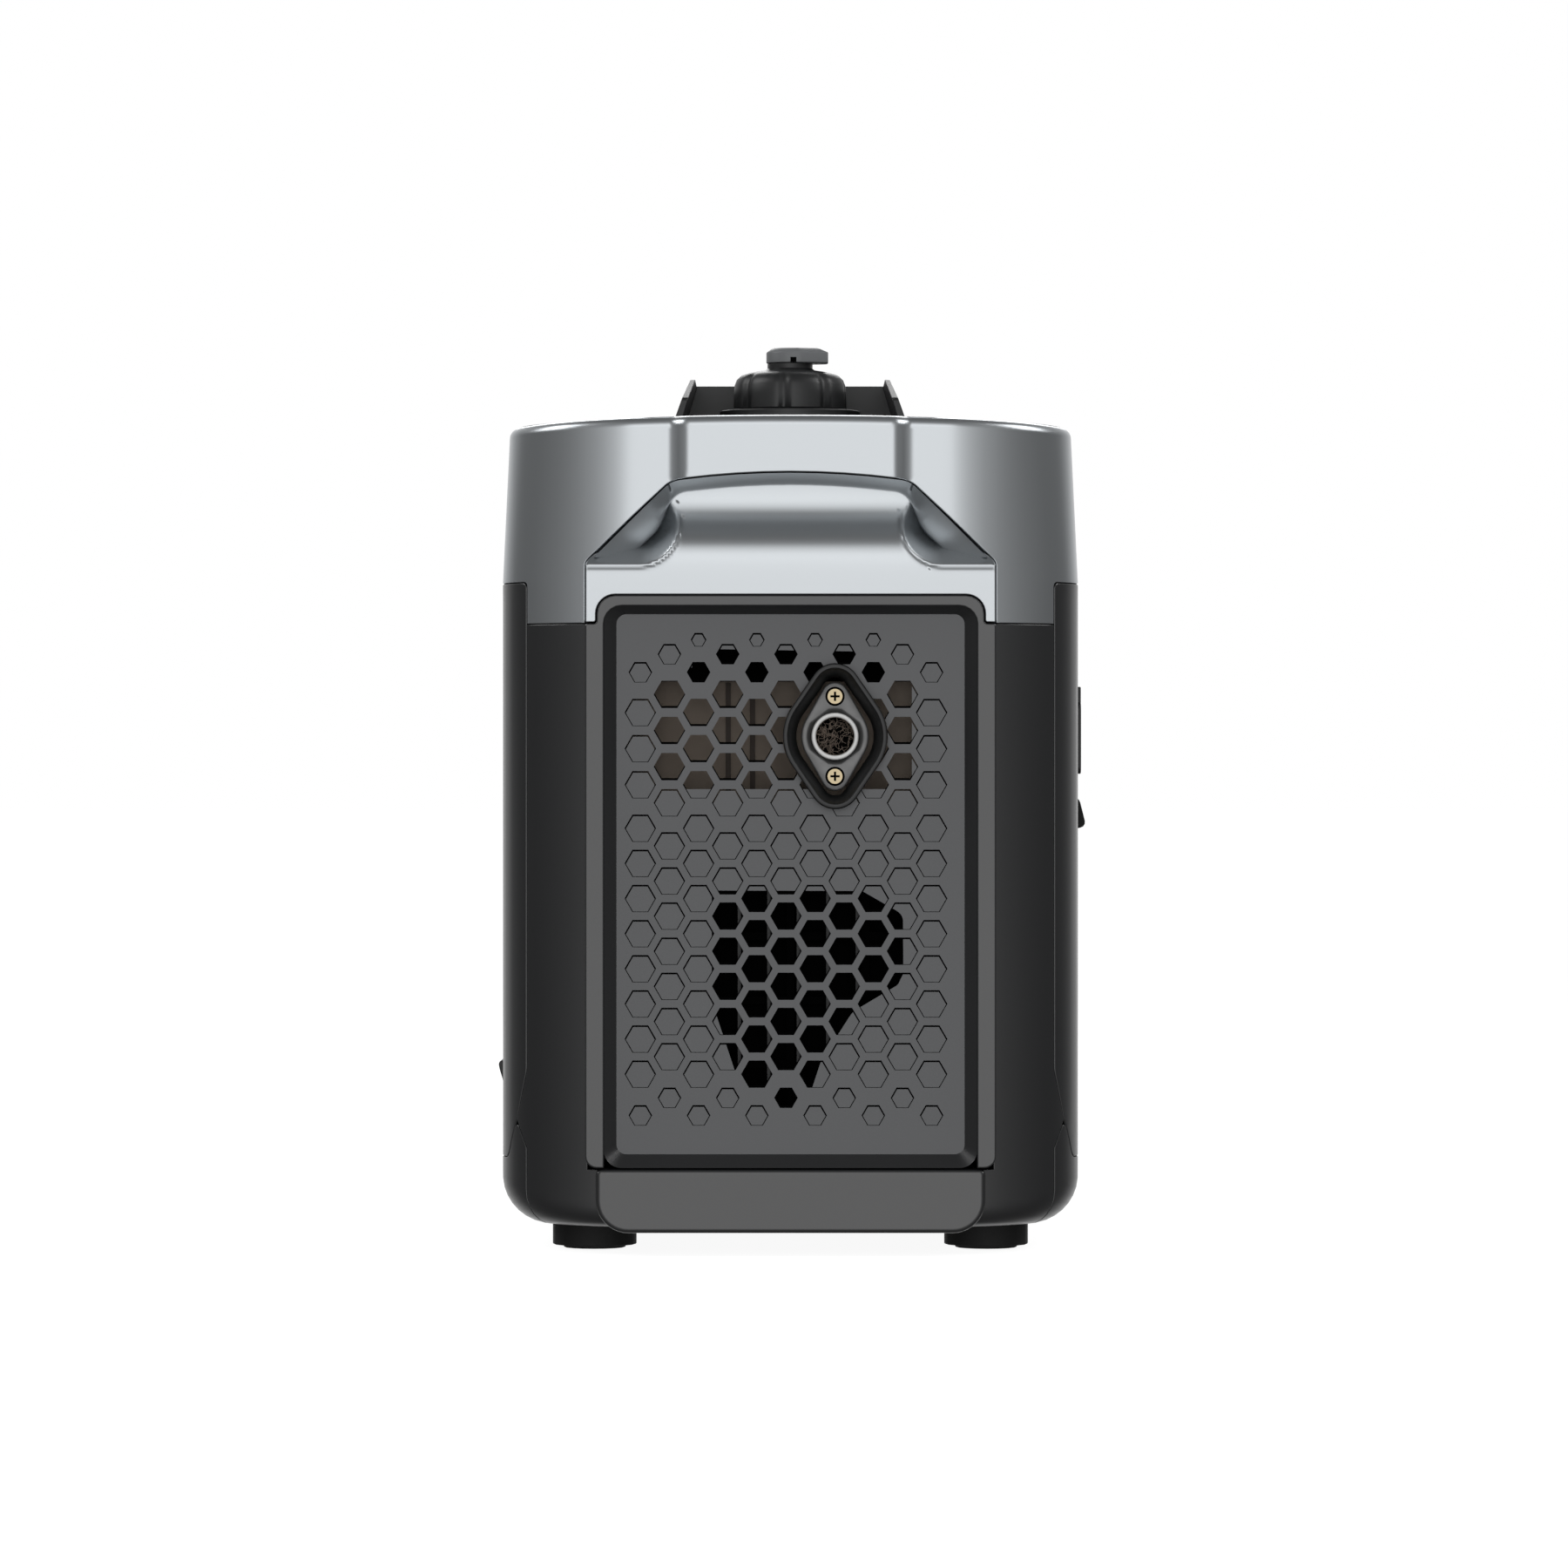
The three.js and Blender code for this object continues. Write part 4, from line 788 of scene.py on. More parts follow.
def end_tree(tree: bpy.types.NodeTree, geometry: bpy.types.NodeSocket,
             material: bpy.types.NodeSocket) -> None:
    """Ends a tree with its instances made real and its material set.

    Args:
        tree: The geometry tree.
        geometry: The socket that gives what the tree has made.
        material: The socket that gives its material.
    """
    real = add_node(tree, "GeometryNodeRealizeInstances", links={"Geometry": geometry})
    dressed = add_node(
        tree, "GeometryNodeSetMaterial", links={"Geometry": real.outputs[0], "Material": material},
    )
    output = add_node(tree, "NodeGroupOutput")
    tree.links.new(dressed.outputs[0], output.inputs["Geometry"])


def grown(tree: bpy.types.NodeTree, base: bpy.types.Mesh, values: dict[str, object]) -> bpy.types.Mesh:
    """Runs a tree on a mesh.

    Args:
        tree: The geometry tree.
        base: The mesh that it starts from.
        values: The tree's inputs by name.

    Returns:
        The plain mesh that the tree makes.
    """
    work = linked(tree.name + "_work", base)
    modifier = work.modifiers.new(tree.name, "NODES")
    modifier.node_group = tree
    sockets = {item.name: item.identifier for item in tree.interface.items_tree if item.in_out == "INPUT"}
    for key, value in values.items():
        modifier[sockets[key]] = value
    return made_plain(work)


def point_mesh(points: Sequence[Sequence[float]], edges: Sequence[tuple] = (),
               name: str = "points") -> bpy.types.Mesh:
    """A mesh of points, and of edges between some of them.

    Args:
        points: The points, in millimetres.
        edges: The pairs of points that are joined.
        name: The mesh's name.

    Returns:
        The mesh, in metres.
    """
    mesh = bpy.data.meshes.new(name)
    mesh.from_pydata([[c * MM for c in p] for p in points], list(edges), [])
    return mesh


def hex_plate_tree() -> bpy.types.NodeTree:
    """A plate pierced by hexagons, from its outline as edges and its cells as loose points.

    Returns:
        The tree. The points' cell attribute is a cell's radius, and nothing on the outline.
    """
    tree = new_tree("hex_plate", {
        "Thickness": ("NodeSocketFloat", 0.001), "Face": ("NodeSocketFloat", 0.0),
        "Material": ("NodeSocketMaterial", None),
    })
    source = add_node(tree, "NodeGroupInput")
    size = add_node(tree, "GeometryNodeInputNamedAttribute", {"data_type": "FLOAT", "Name": "cell"})
    is_cell = add_node(tree, "ShaderNodeMath", {"operation": "GREATER_THAN", 1: 0.0}, {0: size.outputs[0]})
    parts = add_node(
        tree, "GeometryNodeSeparateGeometry", {"domain": "POINT"},
        {"Geometry": source.outputs["Geometry"], "Selection": is_cell.outputs[0]},
    )
    outline = add_node(tree, "GeometryNodeMeshToCurve", links={"Mesh": parts.outputs["Inverted"]})
    hexagon = add_node(tree, "GeometryNodeCurvePrimitiveCircle", {"Resolution": 6, "Radius": 1.0})
    cells = add_node(tree, "GeometryNodeInstanceOnPoints", links={
        "Points": parts.outputs["Selection"], "Instance": hexagon.outputs[0], "Scale": size.outputs[0],
    })
    real = add_node(tree, "GeometryNodeRealizeInstances", links={"Geometry": cells.outputs[0]})
    loops = add_node(tree, "GeometryNodeJoinGeometry")
    tree.links.new(outline.outputs[0], loops.inputs[0])
    tree.links.new(real.outputs[0], loops.inputs[0])
    sheet = add_node(tree, "GeometryNodeFillCurve", {"mode": "NGONS"}, {"Curve": loops.outputs[0]})
    raised = add_node(
        tree, "GeometryNodeExtrudeMesh", {"mode": "FACES", "Individual": False},
        {"Mesh": sheet.outputs[0], "Offset Scale": source.outputs["Thickness"]},
    )
    under = add_node(tree, "GeometryNodeFlipFaces", links={"Mesh": sheet.outputs[0]})
    both = add_node(tree, "GeometryNodeJoinGeometry")
    tree.links.new(raised.outputs[0], both.inputs[0])
    tree.links.new(under.outputs[0], both.inputs[0])
    closed = add_node(
        tree, "GeometryNodeMergeByDistance", {"Distance": 0.00001}, {"Geometry": both.outputs[0]},
    )
    back = add_node(tree, "ShaderNodeCombineXYZ", links={"Y": source.outputs["Face"]})
    upright = add_node(
        tree, "GeometryNodeTransform", {"Rotation": (math.pi / 2, 0, 0)},
        {"Geometry": closed.outputs[0], "Translation": back.outputs[0]},
    )
    end_tree(tree, upright.outputs[0], source.outputs["Material"])
    return tree


def hex_plug_tree() -> bpy.types.NodeTree:
    """A hexagonal plug on each point.

    Returns:
        The tree. The points' cell attribute is the cell's radius, and a plug is smaller by the margin.
    """
    tree = new_tree("hex_plugs", {
        "Thickness": ("NodeSocketFloat", 0.001), "Margin": ("NodeSocketFloat", 0.0004),
        "Material": ("NodeSocketMaterial", None),
    })
    source = add_node(tree, "NodeGroupInput")
    size = add_node(tree, "GeometryNodeInputNamedAttribute", {"data_type": "FLOAT", "Name": "cell"})
    less = add_node(
        tree, "ShaderNodeMath", {"operation": "SUBTRACT"}, {0: size.outputs[0], 1: source.outputs["Margin"]},
    )
    plug = add_node(
        tree, "GeometryNodeMeshCylinder", {"Vertices": 6, "Radius": 1.0},
        {"Depth": source.outputs["Thickness"]},
    )
    scale = add_node(
        tree, "ShaderNodeCombineXYZ", {"Z": 1.0}, {"X": less.outputs[0], "Y": less.outputs[0]},
    )
    placed = add_node(
        tree, "GeometryNodeInstanceOnPoints", {"Rotation": (math.pi / 2, 0, 0)},
        {"Points": source.outputs["Geometry"], "Instance": plug.outputs[0], "Scale": scale.outputs[0]},
    )
    end_tree(tree, placed.outputs[0], source.outputs["Material"])
    return tree


def bar_tree() -> bpy.types.NodeTree:
    """A bar on each point: ribs, slats and lattice bars.

    Returns:
        The tree.
    """
    tree = new_tree("bars", {
        "Size": ("NodeSocketVector", (0.01, 0.01, 0.01)), "Tilt": ("NodeSocketVector", (0.0, 0.0, 0.0)),
        "Material": ("NodeSocketMaterial", None),
    })
    source = add_node(tree, "NodeGroupInput")
    bar = add_node(tree, "GeometryNodeMeshCube", links={"Size": source.outputs["Size"]})
    placed = add_node(tree, "GeometryNodeInstanceOnPoints", links={
        "Points": source.outputs["Geometry"], "Instance": bar.outputs[0], "Rotation": source.outputs["Tilt"],
    })
    end_tree(tree, placed.outputs[0], source.outputs["Material"])
    return tree


def screw_tree() -> bpy.types.NodeTree:
    """A pan-head screw with a cross recess on each point, facing -Y.

    Returns:
        The tree.
    """
    tree = new_tree("cross_screws", {
        "Radius": ("NodeSocketFloat", 0.0038), "Height": ("NodeSocketFloat", 0.0024),
        "Slot": ("NodeSocketFloat", 0.0011), "Material": ("NodeSocketMaterial", None),
    })
    source = add_node(tree, "NodeGroupInput")
    head = add_node(tree, "GeometryNodeMeshCylinder", {"Vertices": 32}, {
        "Radius": source.outputs["Radius"], "Depth": source.outputs["Height"],
    })
    long = add_node(
        tree, "ShaderNodeMath", {"operation": "MULTIPLY", 1: 1.25}, {0: source.outputs["Radius"]},
    )
    arm = (long.outputs[0], source.outputs["Slot"])
    slots = []
    for length, width in (arm, arm[::-1]):
        extent = add_node(tree, "ShaderNodeCombineXYZ", {"Z": 0.0045}, {"X": length, "Y": width})
        slots.append(add_node(tree, "GeometryNodeMeshCube", links={"Size": extent.outputs[0]}))
    recessed = add_node(tree, "GeometryNodeMeshBoolean", {"operation": "DIFFERENCE"})
    tree.links.new(head.outputs[0], recessed.inputs[0])
    for slot in slots:
        tree.links.new(slot.outputs[0], recessed.inputs[1])
    placed = add_node(
        tree, "GeometryNodeInstanceOnPoints", {"Rotation": (math.pi / 2, 0, 0)},
        {"Points": source.outputs["Geometry"], "Instance": recessed.outputs[0]},
    )
    end_tree(tree, placed.outputs[0], source.outputs["Material"])
    return tree


def wool_tree() -> bpy.types.NodeTree:
    """A pad of tangled wire: short bent strands scattered in a disc that faces -Y.

    Returns:
        The tree.
    """
    tree = new_tree("steel_wool", {
        "Strands": ("NodeSocketInt", 120), "Radius": ("NodeSocketFloat", 0.009),
        "Wire": ("NodeSocketFloat", 0.00016), "Seed": ("NodeSocketInt", 4),
        "Material": ("NodeSocketMaterial", None),
    })
    source = add_node(tree, "NodeGroupInput")
    spin = add_node(
        tree, "FunctionNodeRandomValue", {"Min": 0.0, "Max": math.tau}, {"Seed": source.outputs["Seed"]},
    )
    reach = add_node(tree, "FunctionNodeRandomValue", {"Min": 0.0, "Max": 1.0, "Seed": 11})
    even = add_node(tree, "ShaderNodeMath", {"operation": "SQRT"}, {0: reach.outputs["Value"]})
    span = add_node(
        tree, "ShaderNodeMath", {"operation": "MULTIPLY"}, {0: even.outputs[0], 1: source.outputs["Radius"]},
    )
    along = add_node(tree, "ShaderNodeMath", {"operation": "COSINE"}, {0: spin.outputs["Value"]})
    up = add_node(tree, "ShaderNodeMath", {"operation": "SINE"}, {0: spin.outputs["Value"]})
    x = add_node(tree, "ShaderNodeMath", {"operation": "MULTIPLY"}, {0: span.outputs[0], 1: along.outputs[0]})
    z = add_node(tree, "ShaderNodeMath", {"operation": "MULTIPLY"}, {0: span.outputs[0], 1: up.outputs[0]})
    y = add_node(tree, "FunctionNodeRandomValue", {"Min": -0.0012, "Max": 0.0012, "Seed": 23})
    place = add_node(tree, "ShaderNodeCombineXYZ", links={
        "X": x.outputs[0], "Y": y.outputs["Value"], "Z": z.outputs[0],
    })
    points = add_node(tree, "GeometryNodePoints", links={
        "Count": source.outputs["Strands"], "Position": place.outputs[0],
    })
    strand = add_node(tree, "GeometryNodeCurveQuadraticBezier", {
        "Resolution": 6, "Start": (-0.0022, 0, 0), "Middle": (0, 0, 0.0016), "End": (0.0022, 0, 0),
    })
    section = add_node(
        tree, "GeometryNodeCurvePrimitiveCircle", {"Resolution": 4}, {"Radius": source.outputs["Wire"]},
    )
    wire = add_node(tree, "GeometryNodeCurveToMesh", {"Fill Caps": True}, {
        "Curve": strand.outputs[0], "Profile Curve": section.outputs[0],
    })
    turn = add_node(tree, "FunctionNodeRandomValue", {
        "data_type": "FLOAT_VECTOR", 0: (-0.5, 0.0, -0.5), 1: (0.5, math.tau, 0.5), "Seed": 37,
    })
    placed = add_node(tree, "GeometryNodeInstanceOnPoints", links={
        "Points": points.outputs[0], "Instance": wire.outputs[0], "Rotation": turn.outputs[0],
    })
    end_tree(tree, placed.outputs[0], source.outputs["Material"])
    return tree


# ---------------------------------------------------------------- the body's surfaces


def ease(value: Array, low: float, high: float) -> Array:
    """A smooth step from 0 at low to 1 at high."""
    share = np.clip((value - low) / (high - low), 0, 1)
    return share * share * (3 - 2 * share)


def larger(value: Array, floor: float, blend: float) -> Array:
    """A value or the floor under it, whichever is larger, with the bend between them rounded."""
    return 0.5 * (value + floor + np.sqrt((value - floor) ** 2 + blend))


@dataclass
class BodyForm:
    """The body's outer form. u runs round its plan from the middle of the rear end, v up from its floor."""

    half_width: float = 148.0
    end: float = 295.0
    across: float = 88.0
    along: float = 60.0
    floor: float = 14.0
    top: float = 426.0
    crown: float = 4.0
    crown_half: float = 144.0
    taper: float = 4.0
    seam: float = 342.0
    side_roll: float = 24.0
    end_roll: float = 10.0
    taper_from: float = 104.0

    def __post_init__(self) -> None:
        """Works out the plan's length and direction along its first quarter."""
        turns = np.linspace(0, math.pi / 2, 241)
        x = (self.half_width - self.across) + self.across * np.sin(turns)
        y = -(self.end - self.along) - self.along * np.cos(turns)
        normal = unit(np.column_stack([np.sin(turns) / self.across, -np.cos(turns) / self.along]))
        self.x = np.concatenate([[0.0], x, [self.half_width]])
        self.y = np.concatenate([[-self.end], y, [0.0]])
        self.normal = np.concatenate([[[0.0, -1.0]], normal, [[1.0, 0.0]]])
        self.run = np.concatenate([[0.0], np.cumsum(np.hypot(np.diff(self.x), np.diff(self.y)))])
        self.quarter = float(self.run[-1])

    def u_at_x(self, x: float) -> float:
        """The distance round the plan where the end reaches a distance across."""
        return float(np.interp(x, self.x[:-1], self.run[:-1]))

    def u_at_y(self, y: float) -> float:
        """The distance round the plan on the right side.

        Args:
            y: A place along the body.

        Returns:
            The distance.
        """
        if y > 0:
            return 2 * self.quarter - self.u_at_y(-y)
        return float(np.interp(y, self.y, self.run))

    def plan(self, u: Array) -> tuple[Array, Array, Array, Array]:
        """Places and outward directions round the plan.

        Args:
            u: Distances from the middle of the rear end, the right-hand way.

        Returns:
            x, y and the two numbers of the outward direction.
        """
        beyond = u > self.quarter
        folded = np.abs(np.where(beyond, 2 * self.quarter - u, u))
        mirror_x = np.where(u < 0, -1.0, 1.0)
        mirror_y = np.where(beyond, -1.0, 1.0)
        x, y = np.interp(folded, self.run, self.x), np.interp(folded, self.run, self.y)
        nx, ny = (np.interp(folded, self.run, self.normal[:, i]) for i in (0, 1))
        return x * mirror_x, y * mirror_y, nx * mirror_x, ny * mirror_y

    def wall(self, uv: Array, depth: Array) -> Array:
        """The upright wall, with the roll under it and the taper above the seam.

        Args:
            uv: Distances round the plan and heights above the floor.
            depth: Depths below the surface.

        Returns:
            The places in space.
        """
        x, y, nx, ny = self.plan(uv[:, 0])
        height = uv[:, 1]
        roll = self.end_roll + (self.side_roll - self.end_roll) * nx**2
        turn = np.clip(1 - height / roll, 0, 1) * math.pi / 2
        inset = roll * (1 - np.cos(turn)) + depth * np.cos(turn)
        rise = np.where(height < roll, roll * (1 - np.sin(turn)), height)
        z = self.floor + rise + depth * np.sin(turn)
        lean = self.taper * np.clip((z - self.seam) / (self.top - self.seam), 0, 1.2)
        share = ease(np.abs(x), self.taper_from, self.half_width)
        return np.column_stack([x - nx * inset - np.sign(x) * lean * share, y - ny * inset, z])

    def left_wall(self, uv: Array, depth: Array) -> Array:
        """The wall on the left, where u runs the same way after a half turn."""
        return self.wall(uv, depth) * (-1, -1, 1)

    def crest(self, x: Array) -> Array:
        """The height of the crowned top."""
        return self.top - self.crown * (x / self.crown_half) ** 2

    def lid(self, uv: Array, depth: Array) -> Array:
        """The crowned top, seen from above."""
        return np.column_stack([uv[:, 0], uv[:, 1], self.crest(uv[:, 0]) - depth])

    def underside(self, uv: Array, depth: Array) -> Array:
        """The flat bottom, seen from above."""
        return np.column_stack([uv[:, 0], uv[:, 1], self.floor + depth])

    def both_ends(self, rear: Sequence[tuple]) -> list[tuple]:
        """The corners of an outline on a side wall that is the same at both ends.

        Args:
            rear: Its corners at the rear end, from the lowest.

        Returns:
            All its corners, anticlockwise.
        """
        front = [(2 * self.quarter - u, *rest) for u, *rest in rear]
        return [rear[0], *front, *rear[:0:-1]]

    def outline(self, inset: Callable[[Array], Array], steps: int = 14) -> Outline:
        """The whole plan moved inwards, anticlockwise from the rear.

        Args:
            inset: The distance for the sideways share of each outward direction.
            steps: Points on each corner.

        Returns:
            The outline.
        """
        first = self.u_at_x(self.half_width - self.across)
        corner = np.linspace(first, self.u_at_y(-(self.end - self.along)), steps)
        quarter = np.concatenate([-corner[::-1], corner])
        x, y, nx, ny = self.plan(quarter)
        reach = inset(nx)
        rear = np.column_stack([x - nx * reach, y - ny * reach])
        return [tuple(p) for p in np.concatenate([rear, -rear]).tolist()]


def rear_flat(face: float) -> Surface:
    """A flat upright surface that faces -Y.

    Args:
        face: Its place along the body.

    Returns:
        The surface, across and up.
    """
    def surface(uv: Array, depth: Array) -> Array:
        """A place for each point at a depth below the surface."""
        return np.column_stack([uv[:, 0], face + depth, uv[:, 1]])

    return surface


def upright(outline: Outline, y: float) -> Array:
    """An outline seen from the rear, stood at a place along the body."""
    points = np.array(outline)
    return np.column_stack([points[:, 0], np.full(len(points), y), points[:, 1]])


# ---------------------------------------------------------------- the enclosure


@dataclass
class Enclosure:
    """The silver top cover, the black covers under it, and the sizes that they share with the ends."""

    form: BodyForm = field(default_factory=BodyForm)
    face: float = -298.0
    wall: float = 3.0
    gap: float = 0.35
    shoulder: float = 320.6
    seam_x: float = 134.5
    seam_corner: float = 2.5
    boss: float = 104.0
    tab_half: float = 98.2
    tab_top: float = 334.6
    tab_radii: tuple[float, float] = (9.5, 1.5)
    ledge: float = 351.5
    ledge_radius: float = 5.0
    knee: tuple[float, float] = (60.6, 392.4)
    knee_radius: float = 14.0
    arch: float = 400.2
    arch_radius: float = 425.0
    bar_edge: tuple[float, float] = (51.6, 61.6)
    bar_proud: float = 4.8
    dip: float = 1.8
    dip_blend: float = 0.5
    dip_edge: tuple[float, float] = (80.0, 100.0)
    top_wall: float = 6.0
    rim: float = 5.0
    lid_roll: float = 0.4
    crest_points: int = 61
    filler: float = 38.8
    edge_roll: float = 0.7
    cover_roll: float = 0.5
    cover_corner: float = 3.0
    end_seam: float = 266.9
    slope: tuple[float, float, float] = (53.5, 67.4, 92.5)
    slope_radii: tuple[float, float, float] = (3.0, 2.0, 12.0)
    slope_reach: float = 6.6
    belt: float = 47.7
    belt_radius: float = 6.0
    belt_reach: float = 8.3
    plate_lap: float = 1.0
    plate_roll: float = 0.3
    panel: tuple[float, float, float] = (94.3, 45.0, 329.0)
    field_inset: tuple[float, float, float] = (6.1, 6.4, 4.0)
    sill: float = 6.5

    def top_surface(self, uv: Array, depth: Array) -> Array:
        """The top cover's wall, with the grab bar proud of a shallow dip.

        Args:
            uv: Distances round the plan and heights above the floor.
            depth: Depths below the surface.

        Returns:
            The places in space.
        """
        place = self.form.wall(uv, depth)
        x = np.abs(place[:, 0])
        fall = self.form.end - np.abs(self.form.plan(uv[:, 0])[1])
        sunk = larger(fall, self.dip, self.dip_blend) - fall
        near = np.abs(uv[:, 0]) < self.form.quarter / 2
        place[:, 1] += np.where(near, sunk * (1 - ease(x, *self.dip_edge)), 0)
        place[:, 1] -= np.where(near, self.bar_proud * (1 - ease(x, *self.bar_edge)), 0)
        return place

    def mouth(self, gap: float) -> list[tuple]:
        """The corners of a handle's mouth.

        Args:
            gap: How far they are moved outwards.

        Returns:
            The corners from left to right, with their radii.
        """
        knee_x, knee_z = self.knee
        left = [(-self.boss - gap, self.ledge, self.ledge_radius), (-knee_x, knee_z + gap, self.knee_radius)]
        return [*left, (0.0, self.arch + gap, self.arch_radius), *mirror(left)]

    def top_cover(self) -> Draft:
        """The top cover: a wall round each half and the crowned lid.

        Returns:
            The cover.
        """
        form, draft = self.form, Draft()
        quarter, seam_u = form.quarter, form.u_at_x(self.seam_x)
        edge = form.u_at_x(self.boss + self.gap)
        low = [
            (-quarter, form.seam), (-seam_u, form.seam, self.seam_corner), (-seam_u, self.shoulder),
            (-edge, self.shoulder),
        ]
        arch = [(form.u_at_x(abs(x)) * math.copysign(1, x), z, r) for x, z, r in self.mouth(self.gap)]
        lower = [(u, z - form.floor, *rest) for u, z, *rest in low + arch + mirror(low)]
        stations = np.linspace(quarter, -quarter, self.crest_points)
        crest = form.crest(form.plan(stations)[0]) - form.floor
        outline = rounded(lower + [(float(u), float(z)) for u, z in zip(stations, crest)], 8)
        top_start = len(outline) - len(stations)
        rolls = [self.edge_roll] * len(outline)
        rolls[top_start:] = [self.rim] * len(stations)
        rolls[top_start - 1] = rolls[-1] = 0.0
        for turn in (1, -1):
            def surface(uv: Array, depth: Array, turn: int = turn) -> Array:
                """The wall of one half."""
                return self.top_surface(uv, depth) * (turn, turn, 1)

            skin(draft, surface, outline, self.top_wall, rolls, spacing=2.5, grid=3.0, arc=6)
        inner = form.outline(lambda nx: self.rim - self.lid_roll + form.taper * nx**2)
        filler = circle(self.filler, steps=72)
        skin(draft, form.lid, inner, self.wall, self.lid_roll, spacing=8.0, holes=[filler], grid=9.0)
        return draft

    def side_cover(self, holes: Sequence[Outline], surface: Surface) -> Draft:
        """A side cover.

        Args:
            holes: The outlines of its holes, by distance round the plan and height above the floor.
            surface: The wall that it follows.

        Returns:
            The cover.
        """
        form, draft, gap = self.form, Draft(), self.gap
        seam = self.end_seam - gap
        bulge = seam - self.slope_reach
        _, middle, head = (z - form.floor + gap for z in self.slope)
        _, middle_radius, head_radius = self.slope_radii
        seam_u = form.u_at_y(-seam)
        rear = [
            (form.u_at_y(-(bulge - self.belt_reach)), self.belt - form.floor + gap, self.belt_radius),
            (form.u_at_y(-bulge), middle, middle_radius), (seam_u, head, head_radius),
            (seam_u, form.seam - form.floor - gap, self.cover_corner),
        ]
        outline = rounded(form.both_ends(rear))
        skin(draft, surface, outline, self.wall, self.edge_roll, spacing=5.0, holes=holes, grid=9.0)
        return draft

    def base_pan(self) -> Draft:
        """The belt below the side covers and the bottom plate.

        Returns:
            The pan.
        """
        form, draft = self.form, Draft()
        seam, bulge = self.end_seam - self.gap, self.end_seam - self.slope_reach - self.gap
        foot, middle, _ = (z - form.floor for z in self.slope)
        foot_radius, middle_radius, _ = self.slope_radii
        seam_u = form.u_at_y(-seam)
        rear = [
            (seam_u, 0.0), (seam_u, foot, foot_radius),
            (form.u_at_y(-bulge), middle - self.gap, middle_radius),
            (form.u_at_y(-(bulge - self.belt_reach)), self.belt - form.floor, self.belt_radius),
        ]
        outline = rounded(form.both_ends(rear))
        for surface in (form.wall, form.left_wall):
            skin(draft, surface, outline, self.wall, self.cover_roll, spacing=3.0, grid=3.0)
        lap = form.end_roll - self.plate_lap
        inner = form.outline(lambda nx: lap + (form.side_roll - form.end_roll) * nx**2)
        skin(draft, form.underside, inner, self.wall, self.plate_roll, spacing=12.0)
        return draft

    def build(self, shop: Workshop) -> None:
        """Makes the enclosure's pieces.

        Args:
            shop: Places them.
        """
        top = self.top_cover().mesh("top_cover_skin")
        shop.place("top_cover_skin", top, SILVER_PAINT, "enclosure", ["top_cover"])
        handle, ends = Handle(self), EndCover(self)
        lining, facets = handle.lining(), handle.facets()
        cover, inner_slopes = ends.cover(), ends.inner_slopes()
        for end in End:
            name = end.name.lower()
            meshes = {
                "handle_lining": (lining.mesh("lining"), SILVER_PAINT, [f"{name}_handle_cup"]),
                "handle_facets": (facets.copy(), SILVER_PAINT, []),
                "cover_skin": (cover.mesh("cover"), SHELL_ABS, [f"{name}_cover"]),
                "bezel_slopes": (inner_slopes.copy(), SHELL_ABS, []),
            }
            for part, (mesh, finish, nodes) in meshes.items():
                if end is End.FRONT:
                    mesh = half_turned(mesh, f"{name}_{part}")
                shop.place(f"{name}_{part}", mesh, finish, "enclosure", nodes)
        pan = self.base_pan().mesh("base_pan_skin")
        shop.place("base_pan_skin", pan, SHELL_ABS, "enclosure", ["base_pan"])


